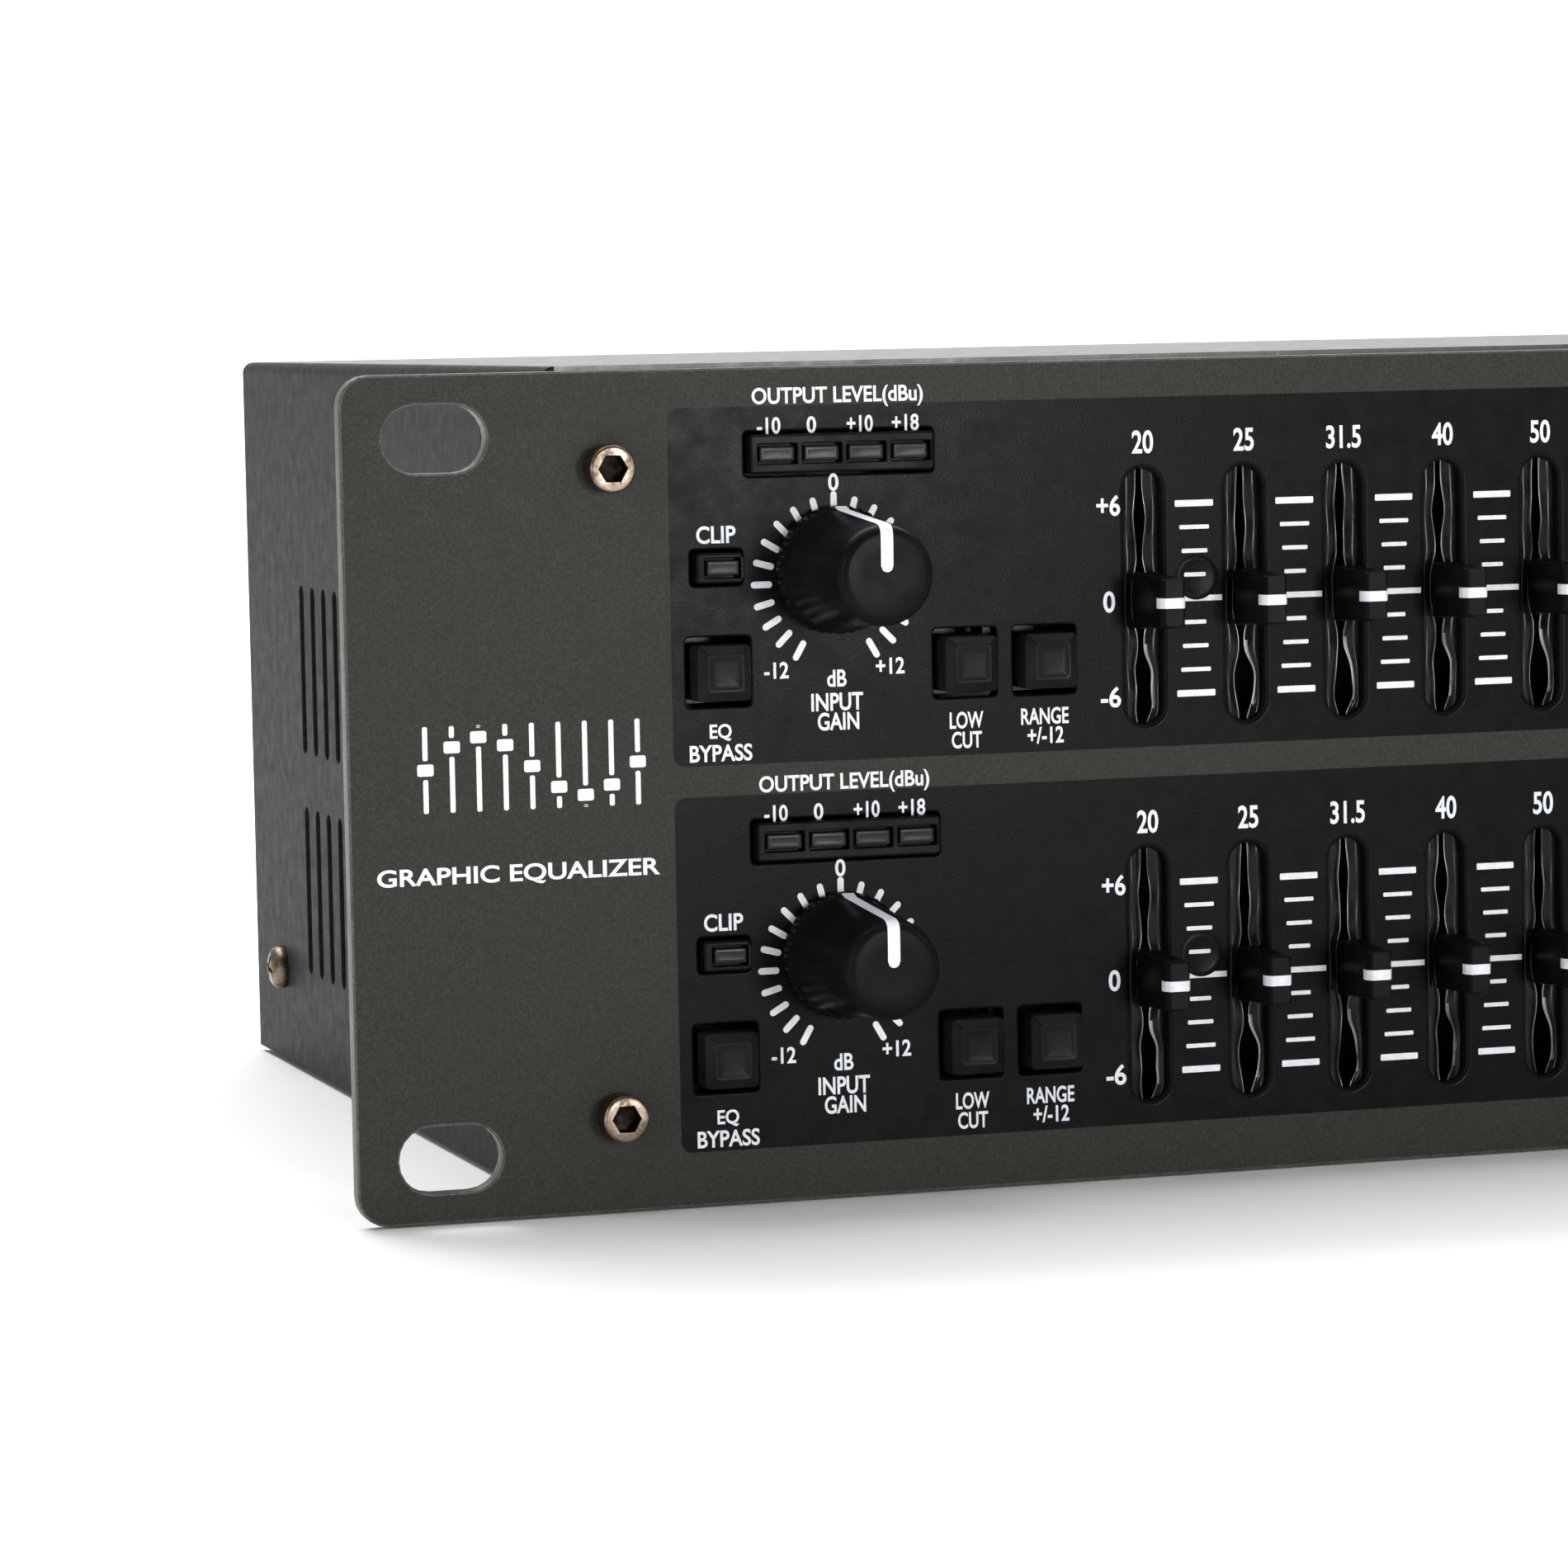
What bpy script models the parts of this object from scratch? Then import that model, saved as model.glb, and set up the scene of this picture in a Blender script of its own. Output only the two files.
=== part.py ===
"""A dual 31-band graphic equalizer, two rack units high and 19 inches wide.

All dimensions below are in millimetres, and meshes are scaled to metres as they are made.
+X runs to the right of someone facing the panel, +Y runs from the panel towards the rear, and +Z is up.
The origin is the bottom centre of the whole object's box: the panel's lower edge lies at Z = 0.
"""

import math

import bmesh
import bpy
from mathutils import Matrix, Vector

MM = 0.001
GAP = 0.3  # clearance kept between fixed pieces that lie against each other
SEWN = 0.001  # points closer than this are one point

# Rack panel
PANEL_WIDTH = 482.6
PANEL_HEIGHT = 88.1
PANEL_THICKNESS = 2.0
PANEL_CORNER = 3.2
EAR_WIDTH = 21.5
RACK_SLOT = (11.1, 7.0)
RACK_SLOT_INSET = 10.0
RACK_SLOT_OFFSET = 37.35
RACK_SLOT_STEPS = 12
BOLT_INSET = 28.2
BOLT_OFFSET = 33.9
BOLT_HOLE_RADIUS = 2.0

# Depths measured from the panel's front face
KNOB_REACH = 17.5
CASE_DEPTH = 150.0
JACK_REACH = 2.5
FRONT = KNOB_REACH - (KNOB_REACH + CASE_DEPTH + JACK_REACH) / 2

# Folded case
CASE_INSET = 22.1
CASE_BOTTOM = 0.5
CASE_TOP = 88.6
COVER_SHEET = 1.0
COVER_BEND = 1.4
TRAY_SHEET = 1.2
TRAY_TOP = CASE_TOP - COVER_SHEET - 0.4
REAR_WALL = CASE_DEPTH - 0.5
FLANGE_WIDTH = 13.0
TRAY_LIP = 8.0

# Vent slots in the cover's sides
VENT_WIDTH = 2.2
VENT_HEIGHT = 20.8
VENT_PITCH = 6.05
VENT_COUNT = 12
VENT_REAR = 119.0
VENT_ROWS = (23.3, 50.8)
SIDE_SCREW_DEPTH = 134.7
SIDE_SCREW_HEIGHT = 12.2

# Channel layout: Z of each channel's fader zero, and places relative to it
CHANNEL_Z = (62.3, 21.55)
BAND_COUNT = 31
FIRST_FADER = 87.8
FADER_PITCH = 11.617
FADER_SLOT = (4.3, 27.4)
FADER_SLOT_RISE = 0.35
SINGLE_FADERS = 7
GROUP_SIZE = 3
KNOB_X = 53.0
KNOB_RISE = 4.4
METER_X = 53.7
METER_RISE = 16.7
METER_WINDOW = (20.9, 4.7)
CLIP_X = 40.0
CLIP_RISE = 4.95
CLIP_WINDOW = (5.7, 3.8)
BUTTON_RISE = -6.0
BUTTONS = (("eq_bypass_button", 40.0), ("low_cut_button", 67.35), ("range_button", 76.3))
BUTTON_HOLE = (7.1, 7.4)

# Moving pieces
BUTTON_FACE = 3.9
BUTTON_SIDE = 5.9
BUTTON_REACH = 2.9
BUTTON_BEVEL = 0.7
BUTTON_BACK = 5.5
BUTTON_STEM = (3.0, 10.5)
KNOB_RADIUS = 7.1
KNOB_TOP_RADIUS = 5.2
KNOB_EDGE = (0.9, 0.6)
KNOB_SKIRT = (0.5, 2.4, 2.9)
KNOB_SHAFT_RADIUS = 3.0
KNOB_SHAFT_END = 11.0
LIGHT_REACH = 1.3
FADER_REACH = 8.9
FADER_CAP = (2.9, 5.4)
FADER_BASE = (3.2, 6.0)
FADER_EDGE = 0.4
FADER_CLEARANCE = 0.5
LEVER = (1.0, 3.6)
LEVER_END = 10.6
GROUP_BAR = (3.4, 5.4, 1.4)
BOLT_HEAD = (2.75, 3.0)
BOLT_SHANK = (1.7, 9.0)
BOLT_SOCKET = (1.45, 1.6)

# Boards behind the panel
BOARD_FRONT = 14.0
BOARD_THICKNESS = 1.6
SLIDE_POT_FRONT = 7.0
SLIDE_POT = (8.4, 35.0)
SLIDE_POT_GROOVE = (2.2, 4.0)
BOARD_ENDS = (31.0, 451.6)
BOARD_HEIGHT = 38.0

# Rear connectors, placed by X from the centre
REAR_Z = 44.0
SOCKET_BOARD_DEPTH = 128.0
SOCKET_CENTRES = (62.0, -62.0)
XLR_RADIUS = 11.0
XLR_CAVITY_RADIUS = 7.9
XLR_HOLE_RADIUS = 11.4
XLR_RIM = 1.2
XLR_DEPTH = 11.0
XLR_PIN_CIRCLE = 3.8
XLR_PIN_HOLE = 1.6
XLR_OFFSETS = (25.0, -5.0)
JACK_OFFSETS = (-22.0, -38.0)
JACK_RADIUS = 4.5
JACK_BORE_RADIUS = 3.3
JACK_HOLE_RADIUS = 4.9
JACK_DEPTH = 18.0
SOCKET_BOARD_MARGINS = (9.0, 15.0, 18.0)
INLET_X = 186.0
INLET_BODY = (27.0, 20.0)
INLET_FLANGE = (50.0, 23.0)
INLET_CAVITY = (24.2, 16.6)
ROCKER_X = 146.0
ROCKER_FRAME = (21.0, 15.0)
ROCKER_BODY = (19.0, 13.0)
ROCKER_WINDOW = (16.6, 10.6)


def depth(distance):
    """The Y of a point this far behind the panel's front face."""
    return FRONT + distance


def across(distance):
    """The X of a point this far from the panel's left end."""
    return distance - PANEL_WIDTH / 2


def material(name, colour, roughness, metallic=0.0):
    """One Principled BSDF material for each name."""
    found = bpy.data.materials.get(name)
    if found:
        return found
    made = bpy.data.materials.new(name)
    made.use_nodes = True
    shader = made.node_tree.nodes["Principled BSDF"]
    shader.inputs["Base Color"].default_value = (*colour, 1.0)
    shader.inputs["Roughness"].default_value = roughness
    shader.inputs["Metallic"].default_value = metallic
    return made


def panel_paint():
    return material("panel_paint", (0.047, 0.047, 0.041), 0.45)


def case_paint():
    return material("case_paint", (0.085, 0.085, 0.09), 0.5)


def black_plastic():
    return material("black_plastic", (0.012, 0.012, 0.013), 0.4)


def button_plastic():
    return material("button_plastic", (0.03, 0.03, 0.031), 0.35)


def smoked_lens():
    return material("smoked_lens", (0.04, 0.035, 0.03), 0.25)


def bronze_steel():
    return material("bronze_steel", (0.3, 0.22, 0.15), 0.35, 1.0)


def circuit_board():
    return material("circuit_board", (0.02, 0.12, 0.05), 0.5)


def steel_core():
    return material("steel_core", (0.3, 0.3, 0.31), 0.45, 1.0)


def arc(centre, radius, start, end, steps):
    """Points on an arc, angles in degrees, both ends included."""
    angles = (math.radians(start + (end - start) * i / steps) for i in range(steps + 1))
    return [(centre[0] + radius * math.cos(a), centre[1] + radius * math.sin(a)) for a in angles]


def rectangle(centre, size, corner=0.0, steps=4):
    """A rectangle's outline, counter-clockwise, with round corners where a radius is given."""
    half_w, half_h = size[0] / 2 - corner, size[1] / 2 - corner
    signs = ((1, 1, 0), (-1, 1, 90), (-1, -1, 180), (1, -1, 270))
    points = []
    for sx, sy, start in signs:
        middle = (centre[0] + sx * half_w, centre[1] + sy * half_h)
        points += arc(middle, corner, start, start + 90, steps) if corner else [middle]
    return points


def circle(centre, radius, steps=16):
    return arc(centre, radius, 0, 360, steps)[:-1]


def obround(centre, size, steps=4):
    """A slot with round ends, along whichever side is the longer."""
    radius = min(size) / 2
    run = max(size) / 2 - radius
    lying = size[0] > size[1]
    run_x, run_y, turn = (run, 0, 90) if lying else (0, run, 0)
    first = arc((centre[0] - run_x, centre[1] + run_y), radius, turn, turn + 180, steps)
    second = arc((centre[0] + run_x, centre[1] - run_y), radius, turn + 180, turn + 360, steps)
    return first + second


def add_prism(bm, outline, holes, start, end, axis="Y"):
    """A flat shape with holes, extruded along an axis.

    Outlines are (x, z) along Y, (y, z) along X and (x, y) along Z.
    """
    place = {
        "X": lambda p, level: (level, p[0], p[1]),
        "Y": lambda p, level: (p[0], level, p[1]),
        "Z": lambda p, level: (p[0], p[1], level),
    }[axis]
    edges = []
    for loop in (outline, *holes):
        points = [bm.verts.new(place(p, start)) for p in loop]
        edges += [bm.edges.new((points[i - 1], points[i])) for i in range(len(points))]
    filled = bmesh.ops.triangle_fill(bm, use_beauty=True, use_dissolve=False, edges=edges)["geom"]
    faces = [item for item in filled if isinstance(item, bmesh.types.BMFace)]
    raised = bmesh.ops.extrude_face_region(bm, geom=faces, use_keep_orig=True)["geom"]
    moved = [item for item in raised if isinstance(item, bmesh.types.BMVert)]
    bmesh.ops.translate(bm, verts=moved, vec=Vector(place((0, 0), end)) - Vector(place((0, 0), start)))


def add_box(bm, low, high):
    outline = [(low[0], low[2]), (high[0], low[2]), (high[0], high[2]), (low[0], high[2])]
    add_prism(bm, outline, [], low[1], high[1])


def add_loft(bm, centre, sections):
    """Rectangular sections (y, width, height) about (x, z), joined in order and closed at both ends."""
    rings = []
    for y, width, height in sections:
        corners = rectangle(centre, (width, height))
        rings.append([bm.verts.new((x, y, z)) for x, z in corners])
    for near, far in zip(rings, rings[1:]):
        for i in range(4):
            bm.faces.new((near[i - 1], near[i], far[i], far[i - 1]))
    bm.faces.new(rings[0])
    bm.faces.new(rings[-1])


def add_turned(bm, centre, profile, steps, axis="Y"):
    """A profile of (distance along the axis, radius), from axis to axis, turned once round."""
    along = Vector((0, 1, 0)) if axis == "Y" else Vector((1, 0, 0))
    out = Vector((0, 0, 1))
    points = [bm.verts.new(Vector(centre) + along * a + out * r) for a, r in profile]
    edges = [bm.edges.new(pair) for pair in zip(points, points[1:])]
    bmesh.ops.spin(
        bm, geom=points + edges, cent=centre, axis=along, angle=2 * math.pi, steps=steps, use_merge=True
    )
    bmesh.ops.remove_doubles(bm, verts=bm.verts, dist=SEWN)


def new_mesh_object(name, bm, origin=(0, 0, 0)):
    """Turns a mesh drawn in millimetres into an object in metres whose origin is the given point."""
    bmesh.ops.recalc_face_normals(bm, faces=bm.faces)
    bm.transform(Matrix.Scale(MM, 4) @ Matrix.Translation(-Vector(origin)))
    mesh = bpy.data.meshes.new(name)
    bm.to_mesh(mesh)
    bm.free()
    item = bpy.data.objects.new(name, mesh)
    item.location = Vector(origin) * MM
    bpy.context.scene.collection.objects.link(item)
    return item


def add_piece(name, bm, surface, origin=(0, 0, 0), smooth=False):
    item = new_mesh_object(name, bm, origin)
    item.data.materials.append(surface)
    if smooth:
        item.data.shade_smooth()
        item.data.set_sharp_from_angle(angle=math.radians(35))
    return item


def combine(item, bm, operation):
    """A Boolean with a hidden tool shape drawn in millimetres."""
    tool = new_mesh_object(f"{item.name}_{operation.lower()}_tool_{len(item.modifiers)}", bm)
    tool.hide_render = True
    tool.display_type = "WIRE"
    step = item.modifiers.new(operation.lower(), "BOOLEAN")
    step.operation = operation
    step.object = tool
    step.solver = "EXACT"


def mirrored(distance):
    """The X of a feature at this distance from the left end, and of its twin at the right end."""
    return across(distance), -across(distance)


def bolt_places():
    middle = PANEL_HEIGHT / 2
    return [(x, middle + side * BOLT_OFFSET) for x in mirrored(BOLT_INSET) for side in (1, -1)]


def fader_x(band):
    return across(FIRST_FADER + band * FADER_PITCH)


def panel_outlines():
    """The left ear, the panel between the ears, and the right ear."""
    end, seam = PANEL_WIDTH / 2, PANEL_WIDTH / 2 - EAR_WIDTH
    corner, top = PANEL_CORNER, PANEL_HEIGHT - PANEL_CORNER
    right = [(seam, 0)]
    right += arc((end - corner, corner), corner, 270, 360, 4)
    right += arc((end - corner, top), corner, 0, 90, 4)
    right.append((seam, PANEL_HEIGHT))
    left = [(-x, z) for x, z in reversed(right)]
    middle = [(-seam, 0), (seam, 0), (seam, PANEL_HEIGHT), (-seam, PANEL_HEIGHT)]
    return left, middle, right


def make_front_panel():
    """The flat rack panel with its rack slots, fader slots, windows and holes.

    The ears and the middle are drawn apart and sewn together, so each ear's back is a flat face.
    """
    middle = PANEL_HEIGHT / 2
    holes = [circle(place, BOLT_HOLE_RADIUS, 12) for place in bolt_places()]
    for z in CHANNEL_Z:
        holes.append(circle((across(KNOB_X), z + KNOB_RISE), KNOB_SHAFT_RADIUS + 1.0, 16))
        holes.append(rectangle((across(METER_X), z + METER_RISE), METER_WINDOW))
        holes.append(rectangle((across(CLIP_X), z + CLIP_RISE), CLIP_WINDOW))
        holes += [rectangle((across(x), z + BUTTON_RISE), BUTTON_HOLE) for _, x in BUTTONS]
        holes += [
            obround((fader_x(band), z + FADER_SLOT_RISE), FADER_SLOT, 2) for band in range(BAND_COUNT)
        ]
    rack_slots = [
        [
            obround((x, middle + side * RACK_SLOT_OFFSET), RACK_SLOT, RACK_SLOT_STEPS)
            for side in (1, -1)
        ]
        for x in mirrored(RACK_SLOT_INSET)
    ]
    bm = bmesh.new()
    for outline, cut in zip(panel_outlines(), (rack_slots[0], holes, rack_slots[1])):
        add_prism(bm, outline, cut, depth(0), depth(PANEL_THICKNESS))
    seam = PANEL_WIDTH / 2 - EAR_WIDTH
    inner = [f for f in bm.faces if abs(abs(f.calc_center_median().x) - seam) < SEWN]
    bmesh.ops.delete(bm, geom=inner, context="FACES_ONLY")
    bmesh.ops.remove_doubles(bm, verts=bm.verts, dist=SEWN)
    add_piece("front_panel", bm, panel_paint())


def cover_outline():
    """The cover's section: a top with two round bends and two sides, one sheet thick."""
    half = PANEL_WIDTH / 2 - CASE_INSET
    inner = COVER_BEND - COVER_SHEET
    points = [(half, CASE_BOTTOM)]
    points += arc((half - COVER_BEND, CASE_TOP - COVER_BEND), COVER_BEND, 0, 90, 4)
    points += arc((-half + COVER_BEND, CASE_TOP - COVER_BEND), COVER_BEND, 90, 180, 4)
    points += [(-half, CASE_BOTTOM), (-half + COVER_SHEET, CASE_BOTTOM)]
    points += arc((-half + COVER_BEND, CASE_TOP - COVER_BEND), inner, 180, 90, 2)
    points += arc((half - COVER_BEND, CASE_TOP - COVER_BEND), inner, 90, 0, 2)
    points.append((half - COVER_SHEET, CASE_BOTTOM))
    return points


def make_top_cover():
    """The top and both sides, folded from one sheet, with two rows of vent slots in each side."""
    bm = bmesh.new()
    add_prism(bm, cover_outline(), [], depth(PANEL_THICKNESS + GAP), depth(CASE_DEPTH))
    cover = add_piece("top_cover", bm, case_paint())
    half = PANEL_WIDTH / 2 - CASE_INSET
    slots = bmesh.new()
    for side in (-1, 1):
        inside, outside = sorted((side * (half - 3), side * (half + 2)))
        for row in VENT_ROWS:
            for i in range(VENT_COUNT):
                place = (depth(VENT_REAR - i * VENT_PITCH), row)
                add_prism(slots, obround(place, (VENT_WIDTH, VENT_HEIGHT), 2), [], inside, outside, "X")
        screw = (depth(SIDE_SCREW_DEPTH), SIDE_SCREW_HEIGHT)
        add_prism(slots, circle(screw, BOLT_HOLE_RADIUS, 12), [], inside, outside, "X")
    combine(cover, slots, "DIFFERENCE")


def socket_places():
    """X of each channel's output XLR, input XLR and two jacks."""
    return [
        {
            "male": middle + XLR_OFFSETS[0],
            "female": middle + XLR_OFFSETS[1],
            "jacks": [middle + offset for offset in JACK_OFFSETS],
        }
        for middle in SOCKET_CENTRES
    ]


def make_chassis_tray():
    """The bottom, rear wall, side walls and front flanges, folded from one thicker sheet."""
    half = PANEL_WIDTH / 2 - CASE_INSET - COVER_SHEET - GAP
    near, far = depth(PANEL_THICKNESS + GAP), depth(REAR_WALL)
    bm = bmesh.new()
    add_box(bm, (-half, near, CASE_BOTTOM), (half, far, TRAY_TOP))
    tray = add_piece("chassis_tray", bm, case_paint())
    inner = half - TRAY_SHEET
    hollow = bmesh.new()
    add_box(
        hollow,
        (-inner, near + TRAY_SHEET, CASE_BOTTOM + TRAY_SHEET),
        (inner, far - TRAY_SHEET, CASE_TOP + 5),
    )
    combine(tray, hollow, "DIFFERENCE")
    front_window = bmesh.new()
    add_box(
        front_window,
        (-half + FLANGE_WIDTH, near - 5, TRAY_LIP),
        (half - FLANGE_WIDTH, near + 5, CASE_TOP + 5),
    )
    combine(tray, front_window, "DIFFERENCE")
    side_windows = bmesh.new()
    add_box(side_windows, (-half - 5, depth(14), 10), (half + 5, depth(128), 76))
    combine(tray, side_windows, "DIFFERENCE")
    holes = bmesh.new()
    for place in bolt_places():
        add_prism(holes, circle(place, BOLT_HOLE_RADIUS, 12), [], near - 5, near + 5)
    for side in (-1, 1):
        screw = (depth(SIDE_SCREW_DEPTH), SIDE_SCREW_HEIGHT)
        ends = sorted((side * (half - 4), side * (half + 4)))
        add_prism(holes, circle(screw, BOLT_HOLE_RADIUS, 12), [], *ends, "X")
    for channel in socket_places():
        for x in (channel["male"], channel["female"]):
            add_prism(holes, circle((x, REAR_Z), XLR_HOLE_RADIUS, 24), [], far - 5, far + 5)
        for x in channel["jacks"]:
            add_prism(holes, circle((x, REAR_Z), JACK_HOLE_RADIUS, 16), [], far - 5, far + 5)
    for x, size in ((INLET_X, INLET_BODY), (ROCKER_X, ROCKER_BODY)):
        grown = (size[0] + 2 * GAP, size[1] + 2 * GAP)
        add_prism(holes, rectangle((x, REAR_Z), grown), [], far - 5, far + 5)
    combine(tray, holes, "DIFFERENCE")


def slide_pot_outline():
    """The section of the row of slide potentiometers: one body for each band, each with its lever groove."""
    back = depth(BOARD_FRONT + BOARD_THICKNESS / 2)
    root = depth(BOARD_FRONT)
    front = depth(SLIDE_POT_FRONT)
    groove = depth(SLIDE_POT_FRONT + SLIDE_POT_GROOVE[1])
    points = [(fader_x(0) - SLIDE_POT[0] / 2 - 1, back), (fader_x(0) - SLIDE_POT[0] / 2 - 1, root)]
    for band in range(BAND_COUNT):
        x = fader_x(band)
        body, slit = SLIDE_POT[0] / 2, SLIDE_POT_GROOVE[0] / 2
        points += [(x - body, root), (x - body, front), (x - slit, front), (x - slit, groove)]
        points += [(x + slit, groove), (x + slit, front), (x + body, front), (x + body, root)]
    last = fader_x(BAND_COUNT - 1) + SLIDE_POT[0] / 2 + 1
    return [*points, (last, root), (last, back)]


def make_channel_board(number, z):
    """One channel's circuit board with its slide potentiometers, gain potentiometer and switches."""
    low, high = z - BOARD_HEIGHT / 2 + 0.4, z + BOARD_HEIGHT / 2 + 0.4
    bm = bmesh.new()
    add_box(
        bm,
        (across(BOARD_ENDS[0]), depth(BOARD_FRONT), low),
        (across(BOARD_ENDS[1]), depth(BOARD_FRONT + BOARD_THICKNESS), high),
    )
    board = add_piece(f"channel_board_{number}", bm, circuit_board())
    pots = bmesh.new()
    add_prism(pots, slide_pot_outline(), [], z - SLIDE_POT[1] / 2, z + SLIDE_POT[1] / 2, "Z")
    combine(board, pots, "UNION")
    blocks = bmesh.new()
    bores = bmesh.new()
    inside_board = depth(BOARD_FRONT + BOARD_THICKNESS / 2)
    knob_place = (across(KNOB_X), z + KNOB_RISE)
    add_prism(blocks, rectangle(knob_place, (12, 12)), [], depth(8), inside_board)
    add_prism(bores, circle(knob_place, KNOB_SHAFT_RADIUS + 0.4, 16), [], depth(6), depth(12))
    for _, x in BUTTONS:
        place = (across(x), z + BUTTON_RISE)
        add_prism(blocks, rectangle(place, (7.6, 7.6)), [], depth(9), inside_board)
        add_prism(bores, rectangle(place, (3.8, 3.8)), [], depth(8), depth(13.6))
    combine(board, blocks, "UNION")
    combine(board, bores, "DIFFERENCE")


def make_gain_knob(number, z):
    """A tapered knob with a skirt, on its shaft. It turns about the shaft's axis."""
    centre = (across(KNOB_X), depth(0), z + KNOB_RISE)
    back, skirt_end, neck = KNOB_SKIRT
    edge_depth, edge_width = KNOB_EDGE
    profile = [
        (KNOB_SHAFT_END, 0),
        (KNOB_SHAFT_END, KNOB_SHAFT_RADIUS),
        (-back, KNOB_SHAFT_RADIUS),
        (-back, KNOB_RADIUS),
        (-skirt_end, KNOB_RADIUS),
        (-neck, KNOB_RADIUS - 0.7),
        (-KNOB_REACH + edge_depth, KNOB_TOP_RADIUS),
        (-KNOB_REACH, KNOB_TOP_RADIUS - edge_width),
        (-KNOB_REACH, 0),
    ]
    bm = bmesh.new()
    add_turned(bm, centre, profile, 24)
    add_piece(f"gain_knob_{number}", bm, black_plastic(), centre, smooth=True)


def make_button(name, x, z):
    """A square button with a sloped rim, and the stem that runs into its switch."""
    place = (across(x), z + BUTTON_RISE)
    stem, stem_end = BUTTON_STEM
    sections = [
        (depth(stem_end), stem, stem),
        (depth(BUTTON_BACK), stem, stem),
        (depth(BUTTON_BACK), BUTTON_SIDE, BUTTON_SIDE),
        (depth(-BUTTON_REACH + BUTTON_BEVEL), BUTTON_SIDE, BUTTON_SIDE),
        (depth(-BUTTON_REACH), BUTTON_FACE, BUTTON_FACE),
    ]
    bm = bmesh.new()
    add_loft(bm, place, sections)
    add_piece(name, bm, button_plastic(), (place[0], depth(0), place[1]))


def make_light_block(name, place, window):
    """A block of lenses in its panel window, standing a little proud, with a narrow bevel round its face."""
    width, height = window[0] - 2 * GAP, window[1] - 2 * GAP
    sections = [
        (depth(BOARD_FRONT - GAP), width, height),
        (depth(-LIGHT_REACH + GAP), width, height),
        (depth(-LIGHT_REACH), width - 2 * GAP, height - 2 * GAP),
    ]
    bm = bmesh.new()
    add_loft(bm, place, sections)
    add_piece(name, bm, smoked_lens())


def add_fader(bm, band, z):
    """One fader's cap and lever."""
    sections = [
        (depth(LEVER_END), *LEVER),
        (depth(-FADER_CLEARANCE), *LEVER),
        (depth(-FADER_CLEARANCE), *FADER_BASE),
        (depth(-FADER_REACH + FADER_EDGE), *FADER_CAP),
        (depth(-FADER_REACH), FADER_CAP[0] - 0.5, FADER_CAP[1] - 0.5),
    ]
    add_loft(bm, (fader_x(band), z), sections)


def make_fader_group(name, bands, z):
    """The faders of some neighbouring bands. More than one share a bar behind the panel."""
    origin = (fader_x(bands[0]), depth(0), z)
    bm = bmesh.new()
    if len(bands) == 1:
        add_fader(bm, bands[0], z)
        add_piece(name, bm, black_plastic(), origin)
        return
    near, far, half_height = GROUP_BAR
    add_box(
        bm,
        (fader_x(bands[0]) - FADER_CAP[0] / 2, depth(near), z - half_height),
        (fader_x(bands[-1]) + FADER_CAP[0] / 2, depth(far), z + half_height),
    )
    item = add_piece(name, bm, black_plastic(), origin)
    faders = bmesh.new()
    for band in bands:
        add_fader(faders, band, z)
    combine(item, faders, "UNION")


def make_faders(number, z):
    """The lowest bands' faders singly, then the others in groups of one octave."""
    for band in range(SINGLE_FADERS):
        make_fader_group(f"fader_{number}_band_{band + 1:02d}", [band], z)
    for first in range(SINGLE_FADERS, BAND_COUNT, GROUP_SIZE):
        bands = list(range(first, first + GROUP_SIZE))
        make_fader_group(f"faders_{number}_bands_{first + 1:02d}_to_{bands[-1] + 1:02d}", bands, z)


def make_panel_bolt(number, place):
    """A socket-head cap bolt through the panel and the tray's flange."""
    centre = (place[0], depth(0), place[1])
    head, reach = BOLT_HEAD
    shank, end = BOLT_SHANK
    socket_radius, socket_depth = BOLT_SOCKET
    profile = [(end, 0), (end, shank), (-GAP, shank), (-GAP, head)]
    profile += [(-reach + 0.3, head), (-reach, head - 0.3), (-reach, 0)]
    bm = bmesh.new()
    add_turned(bm, centre, profile, 16)
    bolt = add_piece(f"panel_bolt_{number}", bm, bronze_steel(), smooth=True)
    socket = bmesh.new()
    add_prism(socket, circle(place, socket_radius, 6), [], depth(-reach - 1), depth(-reach + socket_depth))
    combine(bolt, socket, "DIFFERENCE")


def make_side_screw(name, side):
    """A pan-head cross-recess screw that holds the cover's side to the tray."""
    half = PANEL_WIDTH / 2 - CASE_INSET
    centre = (side * half, depth(SIDE_SCREW_DEPTH), SIDE_SCREW_HEIGHT)
    profile = [(-6.0, 0), (-6.0, 1.6), (GAP, 1.6), (GAP, 2.7), (1.1, 2.6), (1.8, 1.7), (2.05, 0)]
    bm = bmesh.new()
    add_turned(bm, centre, [(side * a, r) for a, r in profile], 12, "X")
    screw = add_piece(name, bm, bronze_steel(), smooth=True)
    cross = bmesh.new()
    ends = sorted((side * (half + 1.0), side * (half + 3.0)))
    arm, bar = 1.5, 0.3
    outline = [(bar, bar), (bar, arm), (-bar, arm), (-bar, bar), (-arm, bar), (-arm, -bar)]
    outline += [(-x, -y) for x, y in outline]
    moved = [(centre[1] + y, centre[2] + z) for y, z in outline]
    add_prism(cross, moved, [], *ends, "X")
    combine(screw, cross, "DIFFERENCE")


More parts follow.
